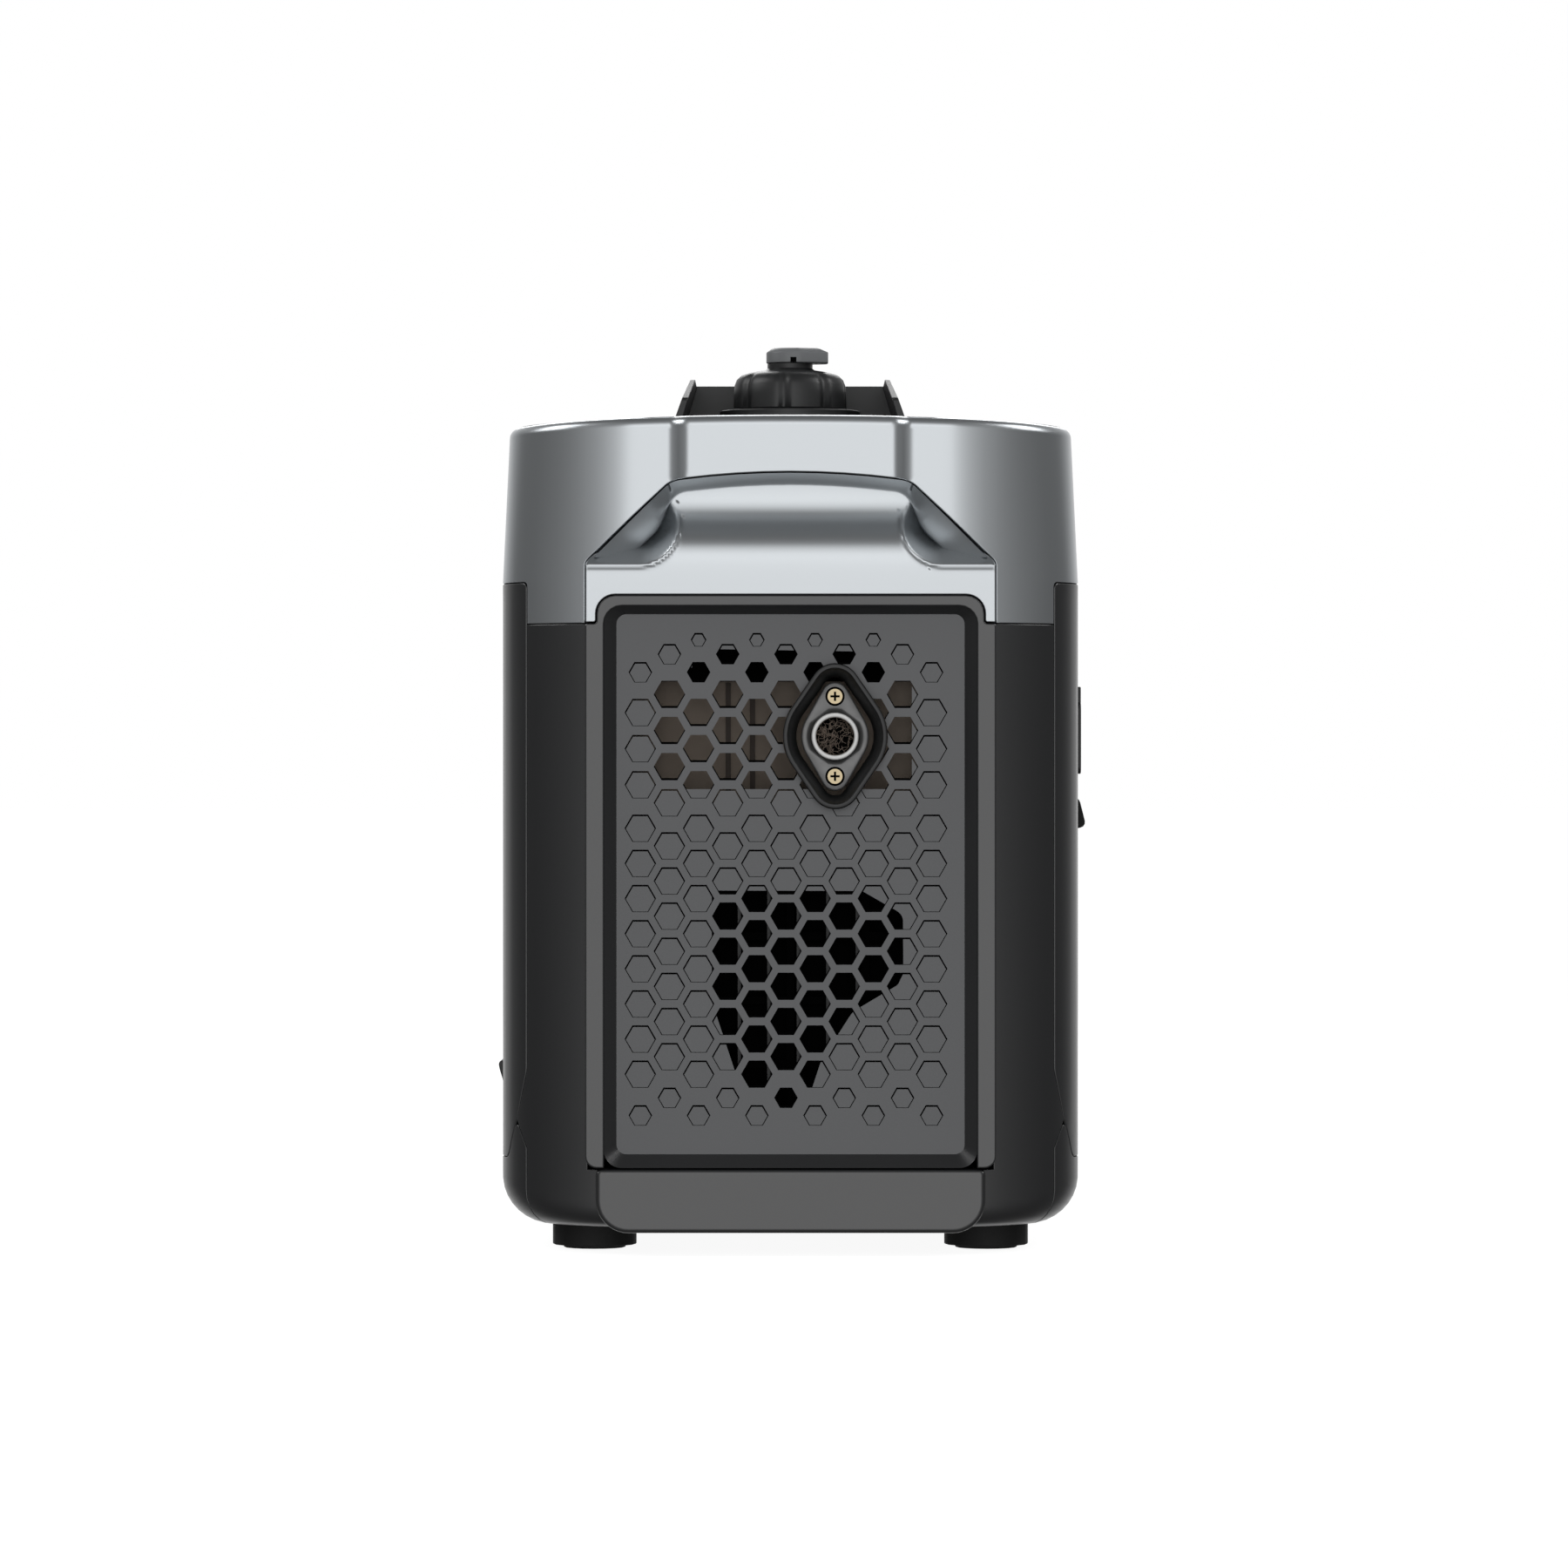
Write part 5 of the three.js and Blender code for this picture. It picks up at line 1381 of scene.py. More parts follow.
@dataclass
class Handle:
    """The handle at each end: a lining under the grab bar, with its fascia, and facets round the mouth."""

    shell: Enclosure
    wall: float = 14.0
    fit: float = 0.3
    back: float = 16.0
    back_roll: tuple[float, float] = (368.8, 8.5)
    well: tuple[float, float, float] = (77.0, 370.0, 19.2)
    well_slope: float = 1.5
    well_blend: float = 1.5
    well_lift: float = 0.05
    well_reach: float = 4.0
    bead: tuple[float, float, float] = (1.3, 1.2, 1.5)
    bead_fade: tuple[float, float] = (370.0, 380.0)
    rim_side: tuple[tuple[float, ...], ...] = ((-99.5, 353.8), (-80.2, 373.1, 900.0))
    throat_side: tuple[tuple[float, ...], ...] = ((-82.0, 353.8), (-67.0, 368.0, 22.0), (-59.0, 387.0, 11.0))
    throat_top: tuple[float, float, float] = (0.0, 393.2, 400.0)
    facet_foot: float = 340.0
    facet_steps: tuple[tuple[float, float], ...] = (
        (0.0, 2.0), (0.0, 0.4), (0.03, 0.8), (0.2, 3.1), (0.4, 5.6), (0.6, 8.1), (0.8, 10.7), (0.93, 12.6),
        (0.985, 13.9), (1.0, 15.4),
    )
    facet_lean: float = 2.8
    facet_back: float = 23.0

    def recess_depth(self, x: Array, z: Array) -> Array:
        """How far the lining lies behind the face: a soft roll up to the back, and a well each side.

        Args:
            x: Places across.
            z: Heights.

        Returns:
            The depths.
        """
        middle, spread = self.back_roll
        depth = self.back / 2 * (1 + np.tanh((z - middle) / spread))
        well_x, well_z, radius = self.well
        beyond = np.abs(x) > well_x
        reach = np.hypot(np.abs(x) - well_x, z - well_z)
        reach = np.where(beyond & (z < well_z), well_z - z, reach)
        fall = radius - np.where(beyond & (z >= well_z), 0, reach)
        scoop = larger(fall, 0.0, self.well_blend) - self.well_lift
        height, place, width = self.bead
        bead = height * np.exp(-(((fall + place) / width) ** 2)) * (1 - ease(z, *self.bead_fade))
        return depth + self.well_slope * np.where(fall > -self.well_reach, scoop, 0) - bead

    def surface(self, uv: Array, depth: Array) -> Array:
        """The lining's outer face, across and up."""
        y = self.shell.face + self.recess_depth(uv[:, 0], uv[:, 1]) + depth
        return np.column_stack([uv[:, 0], y, uv[:, 1]])

    def lining(self) -> Draft:
        """The wall under the grab bar and the fascia below it, notched for the bezel's tab.

        Returns:
            The lining.
        """
        shell, draft = self.shell, Draft()
        base, tab_top = shell.shoulder + shell.gap, shell.tab_top + shell.gap
        side, tab = shell.boss - shell.gap, shell.tab_half + shell.gap
        head_radius, foot_radius = shell.tab_radii
        left = [(-side, base), (-tab, base, foot_radius - self.fit), (-tab, tab_top, head_radius + self.fit)]
        outline = rounded(left + mirror(left) + shell.mouth(-shell.gap)[::-1], 8)
        skin(draft, self.surface, outline, self.wall, spacing=2.0, grid=1.5, arc=3)
        return draft

    def facets(self) -> bpy.types.Mesh:
        """The facets that lead from the mouth's rim back to its throat.

        Returns:
            The facets, as one solid.
        """
        face, foot = self.shell.face, (0.0, self.facet_foot)
        arch = [(x, z - self.fit, radius) for x, z, radius in self.shell.mouth(0)[1:4]]
        outer = rounded([*self.rim_side, *arch, *mirror(self.rim_side), foot], 8)
        inner = rounded([*self.throat_side, self.throat_top, *mirror(self.throat_side), foot], 8)
        rim, throat = (np.array(line[:-1]) for line in (outer, inner))
        under_bar = np.abs(rim[:, 0]) < self.shell.bar_edge[1]
        rows = []
        for share, depth in (*self.facet_steps, (1.0, self.facet_back)):
            flat = rim + (throat - rim) * share
            level = np.where(under_bar, depth, depth + self.facet_lean * (1 - share))
            rows.append(np.column_stack([flat[:, 0], face + level, flat[:, 1]]))
        rows.append(upright(rim, face + self.facet_back))
        sections = [np.array([row[i] for row in rows]) for i in range(len(rim))]
        return loft(sections, around=False, name="handle_facets")


@dataclass
class EndCover:
    """The cover at each end: skins round its corners, a bezel round the panel and a lip below."""

    shell: Enclosure
    crossing: float = 29.5
    lap: float = 1.0
    bezel_depth: float = 14.0
    bezel_roll: float = 1.0
    bezel_drop: float = 0.4
    boss_radii: tuple[float, float] = (1.4, 6.0)
    panel_corner: float = 9.0
    lip: tuple[float, float, float] = (98.6, 11.7, 44.2)
    lip_radii: tuple[float, float] = (3.0, 16.5)
    lip_depth: float = 24.0
    lip_roll: float = 2.6
    slope_lap: tuple[float, float] = (0.2, 0.3)
    slope_front: float = 0.9
    slope_wall: float = 2.5
    field_corner: float = 5.0

    def corner_outline(self) -> Outline:
        """The skins that wrap the corners, joined below the panel.

        Returns:
            The outline, by distance round the plan and height above the floor.
        """
        shell, form = self.shell, self.shell.form
        seam_u = form.u_at_y(-shell.end_seam)
        bulge = form.u_at_y(-(shell.end_seam - shell.slope_reach))
        foot, middle, head = (z - form.floor for z in shell.slope)
        foot_radius, middle_radius, head_radius = shell.slope_radii
        edge, top = form.u_at_x(shell.boss - self.lap), shell.shoulder - form.floor - shell.gap
        right = [
            (seam_u, 0.0), (seam_u, foot, foot_radius), (bulge, middle, middle_radius),
            (seam_u, head, head_radius), (seam_u, top), (edge, top), (edge, self.crossing),
        ]
        return rounded(right + mirror(right))

    def bezel_outline(self) -> Outline:
        """The bezel: a frame open below, with a tab above.

        Returns:
            The outline, seen from the rear.
        """
        shell = self.shell
        half, low, high = shell.panel
        foot, shoulder = low - self.bezel_drop, shell.shoulder - shell.gap
        (boss_head, boss_foot), (tab_head, tab_foot) = self.boss_radii, shell.tab_radii
        right = [
            (half, foot), (shell.boss, foot, boss_foot), (shell.boss, shoulder, boss_head),
            (shell.tab_half, shoulder, tab_foot), (shell.tab_half, shell.tab_top, tab_head),
        ]
        opening = [(-half, high, self.panel_corner), (half, high, self.panel_corner)]
        return rounded(right + mirror(right) + opening)

    def cover(self) -> Draft:
        """The corner skins, the bezel and the lip, as one piece.

        Returns:
            The cover.
        """
        shell, draft, flat = self.shell, Draft(), rear_flat(self.shell.face)
        corners = self.corner_outline()
        skin(draft, shell.form.wall, corners, shell.wall, shell.cover_roll, spacing=3.0, grid=3.0)
        skin(draft, flat, self.bezel_outline(), self.bezel_depth, self.bezel_roll)
        half, low, high = self.lip
        head, foot = self.lip_radii
        lip = rounded([(-half, low, foot), (half, low, foot), (half, high, head), (-half, high, head)], 10)
        skin(draft, flat, lip, self.lip_depth, self.lip_roll, arc=6)
        return draft

    def inner_slopes(self) -> bpy.types.Mesh:
        """The slopes from the bezel's front edge down to the panel.

        Returns:
            The slopes, as one frame.
        """
        shell = self.shell
        half, low, high = shell.panel
        side, bottom, head = shell.field_inset
        lap, low_lap = self.slope_lap
        outer = box(-half - lap, half + lap, low - low_lap, high + lap, self.panel_corner, 7)
        inner = box(-half + side, half - side, low + bottom, high - head, self.field_corner, 7)
        front, flat = shell.face + self.slope_front, shell.face + shell.sill
        back = flat + self.slope_wall
        rows = [upright(outer, front), upright(inner, flat), upright(inner, back), upright(outer, back)]
        return loft(rows, name="bezel_slopes")


@dataclass
class Sides:
    """The side covers with their louvres, and the maintenance door."""

    shell: Enclosure
    rows: int = 9
    pitch: float = 13.0
    slot: float = 5.0
    slot_corner: float = 2.2
    length: float = 92.0
    low: float = 96.0
    middle: float = 130.0
    slat_back: float = 7.0
    slat_rise: float = 6.0
    slat_depth: float = 7.0
    slat_lap: float = 3.0
    slat_thick: float = 1.6
    slat_tilt: float = 0.85
    door: tuple[float, float, float, float] = (-190.0, -10.0, 66.0, 290.0)
    door_corner: float = 12.0
    door_gap: float = 0.5
    door_roll: float = 0.9
    rope: tuple[float, float, float] = (-25.0, 223.0, 9.0)
    dial: tuple[float, float, float] = (-28.0, 264.0, 7.0)

    def louvre_holes(self, turned: bool) -> list[Outline]:
        """The slots of one side.

        Args:
            turned: Whether it is the left side, which is seen after a half turn.

        Returns:
            Their outlines along the wall.
        """
        form = self.shell.form
        middle = form.quarter + (-self.middle if turned else self.middle)
        u0, u1 = middle - self.length / 2, middle + self.length / 2
        lows = [self.low - form.floor + k * self.pitch for k in range(self.rows)]
        return [box(u0, u1, z, z + self.slot, self.slot_corner) for z in lows]

    def door_outline(self, gap: float) -> Outline:
        """The maintenance door's outline, moved outwards.

        Args:
            gap: How far it is moved.

        Returns:
            The outline along the wall.
        """
        form = self.shell.form
        y0, y1, z0, z1 = self.door
        u0, u1 = form.quarter - y1, form.quarter - y0
        low, high = z0 - form.floor, z1 - form.floor
        return box(u0 - gap, u1 + gap, low - gap, high + gap, self.door_corner + gap)

    def build(self, shop: Workshop) -> None:
        """Makes both side covers, the door, and the slats behind the covers' slots.

        Args:
            shop: Places them.
        """
        form, shell = self.shell.form, self.shell
        round_holes = [
            circle(radius, form.quarter + y, z - form.floor) for y, z, radius in (self.rope, self.dial)
        ]
        right = shell.side_cover(self.louvre_holes(False) + round_holes, form.wall).mesh("right_side_skin")
        shop.place("right_side_skin", right, SHELL_ABS, "enclosure", ["right_side_cover"])
        opening = self.door_outline(self.door_gap)
        left = shell.side_cover(self.louvre_holes(True) + [opening], form.left_wall).mesh("left_side_skin")
        shop.place("left_side_skin", left, SHELL_ABS, "enclosure", ["left_side_cover"])
        door = Draft()
        skin(door, form.left_wall, self.door_outline(0.0), shell.wall, self.door_roll, spacing=8.0, grid=12.0)
        shop.place("maintenance_door_skin", door.mesh("door"), SHELL_ABS, "maintenance_door",
                   ["maintenance_door"])
        tree, size = bar_tree(), Vector((self.slat_depth, self.length + 2 * self.slat_lap, self.slat_thick))
        for sign, name in ((1, "right"), (-1, "left")):
            x = sign * (form.half_width - self.slat_back)
            points = [(x, self.middle, self.low + k * self.pitch + self.slat_rise) for k in range(self.rows)]
            slats = grown(tree, point_mesh(points), {
                "Size": size * MM, "Tilt": Vector((0.0, sign * self.slat_tilt, 0.0)),
                "Material": SHELL_ABS.material(),
            })
            shop.place(f"{name}_louvre_slats", slats, SHELL_ABS, "enclosure")


# ---------------------------------------------------------------- the exhaust end


@dataclass
class RearGrille:
    """The honeycomb panel: cells open over the two windows and closed by plugs elsewhere."""

    shell: Enclosure
    columns: int = 11
    pitch: float = 14.76
    middle: float = -2.3
    large: float = 8.0
    mid: float = 6.0
    small: float = 4.0
    upper: tuple[float, float, int] = (284.4, 18.3, 4)
    lower: tuple[float, float, int] = (216.6, 17.8, 8)
    mid_rise: float = 20.4
    mid_drop: float = 20.9
    small_height: float = 312.1
    sheet: float = 1.6
    sheet: float = 1.6
    plug_back: float = 0.25
    plug_drop: float = 0.45
    margin: float = 0.68
    # A near-black sheet behind the open cells, raised by this much so that it shows as painted shade along
    # their lower edges.
    shade_liner_rise: float = 1.1
    shade_liner_back: float = 2.4
    lap: float = 0.5
    shroud_gap: float = 0.3
    cell_gap: float = 0.9
    cut_reach: float = 20.0
    probe_share: float = 0.95
    upper_window: tuple = (
        (-69, 236.4), (61.5, 236.4), (61.5, 298), (47, 298), (45, 306), (-48, 307.5), (-50, 298), (-69, 298),
    )
    lower_window: tuple = (
        (-39.9, 185, 3), (-39.9, 128.9), (-25.3, 84.8, 4), (-12.1, 75.1), (7.7, 75.1), (15.5, 98.7),
        (31.5, 123.6, 12), (54.4, 137.2, 4), (57.2, 143), (57, 172.9, 6), (36.3, 184.8, 6),
    )
    shroud: tuple[float, float, float, float, float] = (26.4, 36.7, 13.0, 22.6, 263.2)

    def cells(self) -> list[tuple[float, float, float]]:
        """Lays out the honeycomb.

        Returns:
            The centre and radius of each cell.
        """
        cells = []
        for column in range(self.columns):
            x = self.middle + (column - (self.columns - 1) / 2) * self.pitch
            low = column % 2 == 0
            (upper_top, upper_step, upper_rows), (lower_top, lower_step, lower_rows) = self.upper, self.lower
            upper_top -= upper_step / 2 if low else 0
            lower_top -= 0 if low else lower_step / 2
            upper_rows -= low
            lower_rows -= not low
            cells += [(x, upper_top - row * upper_step, self.large) for row in range(upper_rows)]
            cells += [(x, lower_top - row * lower_step, self.large) for row in range(lower_rows)]
            cells.append((x, upper_top + self.mid_rise, self.mid))
            cells.append((x, lower_top - (lower_rows - 1) * lower_step - self.mid_drop, self.mid))
            if low and 0 < column < self.columns - 1:
                cells.append((x, self.small_height, self.small))
        return cells

    def windows(self) -> list[Outline]:
        """The two openings behind the honeycomb, anticlockwise."""
        return [rounded(self.upper_window), rounded(self.lower_window)]

    def around_shroud(self, gap: float) -> Outline:
        """The exhaust shroud's outline, moved outwards by a gap."""
        half, tall, *rest = self.shroud
        return lozenge(half + gap, tall + gap, *rest)

    def open_cells(self) -> list[tuple[float, float, float]]:
        """Finds the cells that show at least a part of a window.

        Returns:
            Their centres and radii.
        """
        loops = [np.array(loop) for loop in self.windows()]
        found = []
        for x, z, radius in self.cells():
            probes = np.array([(x, z), *circle(radius * self.probe_share, x, z, 12)])
            if any(inside(probes, loop).any() for loop in loops):
                found.append((x, z, radius))
        return found

    def plate(self, name: str, cells: Sequence[tuple], rise: float, back: float,
              finish: Finish) -> bpy.types.Mesh:
        """A pierced sheet behind the bezel.

        Args:
            name: The mesh's name.
            cells: The centre and radius of each cell.
            rise: How far the cells are moved up.
            back: How far the sheet's face lies behind the panel's.
            finish: The sheet's finish.

        Returns:
            The sheet.
        """
        half, low, high = self.shell.panel
        side, bottom, head = self.shell.field_inset
        lap = self.lap
        outline = box(-half + side - lap, half - side + lap, low + bottom - lap, high - head + lap, 5)
        clear = np.array(self.around_shroud(self.cell_gap))
        whole, crossing = [], []
        for x, z, radius in cells:
            corners = inside(np.array(circle(radius, x, z + rise, 36)), clear)
            if not corners.any():
                whole.append((x, z + rise, radius))
            elif not corners.all():
                crossing.append((x, z + rise, radius))
        points, edges = [], []
        for loop in (outline, self.around_shroud(self.shroud_gap)):
            first = len(points)
            points += [(u, v, 0.0) for u, v in loop]
            edges += [(first + i, first + (i + 1) % len(loop)) for i in range(len(loop))]
        radii = [0.0] * len(points) + [r * MM for _, _, r in whole]
        points += [(x, z, 0.0) for x, z, _ in whole]
        base = point_mesh(points, edges, name + "_base")
        base.attributes.new("cell", "FLOAT", "POINT").data.foreach_set("value", radii)
        face = self.shell.face + self.shell.sill + back
        sheet = grown(hex_plate_tree(), base, {
            "Thickness": self.sheet * MM, "Face": (face + self.sheet) * MM, "Material": finish.material(),
        })
        return self.cut_through(sheet, [circle(radius, x, z, 6) for x, z, radius in crossing], face)

    def cut_through(self, mesh: bpy.types.Mesh, loops: Sequence[Outline], y: float) -> bpy.types.Mesh:
        """Cuts outlines right through a mesh.

        Args:
            mesh: The mesh.
            loops: The outlines, seen from the rear.
            y: Where the mesh stands along the body.

        Returns:
            The cut mesh.
        """
        work = linked("cut_work", mesh)
        cutters = []
        for loop in loops:
            ends = [upright(loop, y + reach) for reach in (-self.cut_reach, self.cut_reach)]
            cutter = linked("cutter", loft(ends, around=False))
            cut = work.modifiers.new("cut", "BOOLEAN")
            cut.operation, cut.solver, cut.object = "DIFFERENCE", "EXACT", cutter
            cutters.append(cutter)
        result = made_plain(work)
        for spare in cutters:
            bpy.data.objects.remove(spare)
        return result

    def plugs(self, finish: Finish) -> bpy.types.Mesh:
        """The closed cells' floors, cut away where a window lies behind.

        Args:
            finish: Their finish.

        Returns:
            The floors, as one mesh.
        """
        around = self.around_shroud(self.shroud_gap)
        loop = np.array(around)
        cells = [
            (x, z, radius) for x, z, radius in self.cells()
            if not inside(np.array(circle(radius, x, z, 6)), loop).all()
        ]
        y = self.shell.face + self.shell.sill + self.plug_back + self.sheet / 2
        drop = self.margin * self.plug_drop
        base = point_mesh([(x, y, z - drop) for x, z, _ in cells], name="plug_base")
        base.attributes.new("cell", "FLOAT", "POINT").data.foreach_set("value", [r * MM for _, _, r in cells])
        plugs = grown(hex_plug_tree(), base, {
            "Thickness": self.sheet * MM, "Margin": self.margin * MM, "Material": finish.material(),
        })
        return self.cut_through(plugs, [*self.windows(), around], y)

    def build(self, shop: Workshop) -> None:
        """Makes the pierced sheet, the closed cells and, behind the open cells, a near-black sheet raised a
        little so that it shows as painted shade along their lower edges.

        Args:
            shop: Places them.
        """
        sheet = self.plate("grille_sheet", self.cells(), 0.0, 0.0, PANEL_ABS)
        shop.place("rear_grille_sheet", sheet, PANEL_ABS, "enclosure", ["rear_grille"])
        # Painted shade: a near-black sheet behind the open cells.
        shade_liner = self.plate("grille_shade_liner", self.open_cells(), self.shade_liner_rise, self.shade_liner_back, PAINTED_SHADE_NYLON)
        shop.place("rear_grille_shade_liner", shade_liner, PAINTED_SHADE_NYLON, "enclosure")
        shop.place("rear_grille_cells", self.plugs(PANEL_ABS), PANEL_ABS, "enclosure")


@dataclass
class Exhaust:
    """The exhaust's surround, flange, tail pipe, screws and spark arrester."""

    shell: Enclosure
    x: float = 22.6
    z: float = 263.2
    shroud: tuple[float, float, float] = (26.4, 36.7, 13.0)
    flange: tuple[float, float, float] = (17.2, 27.6, 7.0)
    rim: float = 2.6
    depth: float = 17.0
    flange_back: float = 14.5
    flange_edge: tuple[tuple[float, float], ...] = ((0.0, 3.0), (0.0, 0.9), (0.3, 0.3), (0.9, 0.0))
    pipe: float = 12.1
    pipe_proud: float = 4.5
    pipe_length: float = 20.0
    collar: float = 14.1
    bore: float = 9.65
    screw_rise: float = 20.3
    screw_proud: float = 1.2
    # Near-black discs round the screw heads, painted shade.
    screw_shade_radius: float = 4.9
    screw_shade_proud: float = 0.15
    wool_back: float = 1.5
    # The near-black disc behind the wool, painted shade inside the pipe.
    shade_pad_depths: tuple[float, float] = (3.5, 6.0)

    def surround(self) -> bpy.types.Mesh:
        """The black cup round the tail pipe, with a rounded rim.

        Returns:
            The cup.
        """
        rows = []
        half, tall, tip = self.shroud
        profile = (
            (0.0, 6.0), (0.0, 0.9), (0.4, 0.25), (1.1, 0.0), (self.rim - 0.6, 0.1), (self.rim, 0.8),
            (self.rim + 1.2, 6.0), (self.rim + 3.4, 13.0), (self.rim + 4.2, self.depth), (0.6, self.depth),
        )
        for inset, back in profile:
            loop = lozenge(half - inset, tall - inset, tip - inset, self.x, self.z)
            rows.append(upright(loop, self.shell.face + back))
        return loft(rows, name="exhaust_surround")

    def plate(self) -> bpy.types.Mesh:
        """The steel flange, with rounded edges and a dished ring round the pipe.

        Returns:
            The flange.
        """
        face = self.shell.face + self.flange_back
        half, tall, tip = self.flange
        rows = [upright(lozenge(half - inset, tall - inset, tip - inset, self.x, self.z), face + back)
                for inset, back in self.flange_edge]
        middle = np.array(lozenge(half, tall, tip, 0, 0))
        turns = np.arctan2(middle[:, 1], middle[:, 0])
        dish = (
            (self.collar + 0.6, 0.0), (self.collar, 0.25), (self.collar - 0.8, 1.2), (self.pipe + 0.5, 2.6),
            (self.pipe + 0.2, 3.0),
        )
        for radius, back in dish:
            ring = np.column_stack([self.x + radius * np.cos(turns), self.z + radius * np.sin(turns)])
            rows.append(upright(ring, face + back))
        return loft(rows, name="exhaust_flange_plate")

    def tail(self) -> bpy.types.Mesh:
        """The bright flat end of the tail pipe, with its edges rounded.

        Returns:
            The pipe end.
        """
        front = self.shell.face + self.flange_back - self.pipe_proud
        length = self.pipe_length
        profile = (
            (self.pipe, length), (self.pipe, 0.7), (self.pipe - 0.2, 0.2), (self.pipe - 0.6, 0.0),
            (self.bore + 0.5, 0.0), (self.bore + 0.1, 0.2), (self.bore, 0.7), (self.bore, length),
        )
        rows = [upright(circle(radius, self.x, self.z, 64), front + back) for radius, back in profile]
        return loft(rows, name="tail_pipe_end")

    def build(self, shop: Workshop) -> None:
        """Makes the exhaust's pieces.

        Args:
            shop: Places them.
        """
        shop.place("exhaust_surround", self.surround(), NYLON, "enclosure", ["exhaust_shroud"])
        shop.place("exhaust_flange_plate", self.plate(), COATED_STEEL, "enclosure", ["exhaust_flange"])
        shop.place("tail_pipe_end", self.tail(), TURNED_STEEL, "enclosure")
        face = self.shell.face + self.flange_back
        heads = [(self.x, face - self.screw_proud, self.z + side * self.screw_rise) for side in (1, -1)]
        screws = grown(screw_tree(), point_mesh(heads), {"Material": YELLOW_ZINC.material()})
        shop.place("exhaust_screws", outward_faces(screws), YELLOW_ZINC, "enclosure",
                   ["exhaust_screw_upper", "exhaust_screw_lower"])
        # Painted shade: near-black discs a little wider than the screw heads leave a dark ring round each.
        screw_shades = Draft()
        for _, _, z in heads:
            skin(screw_shades, rear_flat(face - self.screw_shade_proud), circle(self.screw_shade_radius, self.x, z, 32), 0.6, 0.1)
        shop.place("exhaust_screw_shades", screw_shades.mesh("screw_shades"), PAINTED_SHADE_NYLON, "enclosure")
        wool = grown(wool_tree(), point_mesh([(0, 0, 0)]), {"Material": ARRESTER_WIRE.material()})
        wool.transform(Matrix.Translation(Vector((self.x, face + self.wool_back, self.z)) * MM))
        shop.place("spark_arrester_wool", wool, ARRESTER_WIRE, "enclosure")
        # Painted shade: a near-black disc behind the wool, inside the pipe.
        disc = circle(self.bore - 0.3, self.x, self.z, 40)
        pad = loft([upright(disc, face + back) for back in self.shade_pad_depths], around=False)
        shop.place("spark_arrester_shade_pad", pad, PAINTED_SHADE_NYLON, "enclosure", ["spark_arrester"])


@dataclass
class Inside:
    """What shows through the windows: the muffler's ribs, the duct's lattice, and near-black sheets of
    painted shade on the muffler and behind the duct.
    """

    front: float = -271.0
    rib_places: tuple[float, ...] = (-31.7, -19.3)
    rib: tuple[float, float, float] = (2.6, 1.6, 73.0)
    rib_middle: float = 254.0
    rib_proud: float = 0.4
    # A near-black sheet of painted shade over the muffler's upper part, from this height up.
    shade_low: float = 291.2
    shade_inset: float = 10.0
    shade_proud: float = 1.2
    bar_places: tuple[float, ...] = (-26.0, -11.0, 4.0, 19.0, 34.0)
    bar: tuple[float, float] = (1.6, 3.0)
    bar_proud: float = 1.0
    # A near-black sheet of painted shade behind the duct, reaching past it by this much.
    shade_backing_lap: float = 8.0
    shade_backing_back: float = 2.0

    def build(self, shop: Workshop) -> None:
        """Makes the ribs and a near-black sheet of painted shade on the muffler, and the duct's lattice with
        a sheet of painted shade behind it.

        Args:
            shop: Places them.
        """
        tree = bar_tree()
        # The ribs take the darker copy of the sheet, painted shade.
        ribs = [(x, self.front - self.rib_proud, self.rib_middle) for x in self.rib_places]
        shop.place("muffler_ribs", grown(tree, point_mesh(ribs), {
            "Size": Vector(self.rib) * MM, "Material": SHADED_SHEET.material(),
        }), SHADED_SHEET, "enclosure")
        # Painted shade: a near-black sheet over the muffler's upper part.
        shade, inset = Draft(), self.shade_inset
        low, high = (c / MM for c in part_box("muffler"))
        outline = box(low.x + inset, high.x - inset, self.shade_low, high.z - inset, 3)
        skin(shade, rear_flat(self.front - self.shade_proud), outline, 0.8, 0.2)
        shop.place("muffler_painted_shade", shade.mesh("muffler_painted_shade"), PAINTED_SHADE_NYLON, "enclosure")
        low, high = (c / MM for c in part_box("cooling_duct"))
        bars = [(x, low.y - self.bar_proud, (low.z + high.z) / 2) for x in self.bar_places]
        shop.place("duct_lattice", grown(tree, point_mesh(bars), {
            "Size": Vector((*self.bar, high.z - low.z)) * MM, "Material": NYLON.material(),
        }), NYLON, "enclosure")
        # Painted shade: a near-black sheet behind the duct.
        shade_backing = Draft()
        outline = box(low.x, high.x, low.z - self.shade_backing_lap, high.z + self.shade_backing_lap, 4)
        skin(shade_backing, rear_flat(high.y + self.shade_backing_back), outline, 1.5, 0.3)
        shop.place("duct_shade_backing", shade_backing.mesh("duct_shade_backing"), PAINTED_SHADE_NYLON, "enclosure")


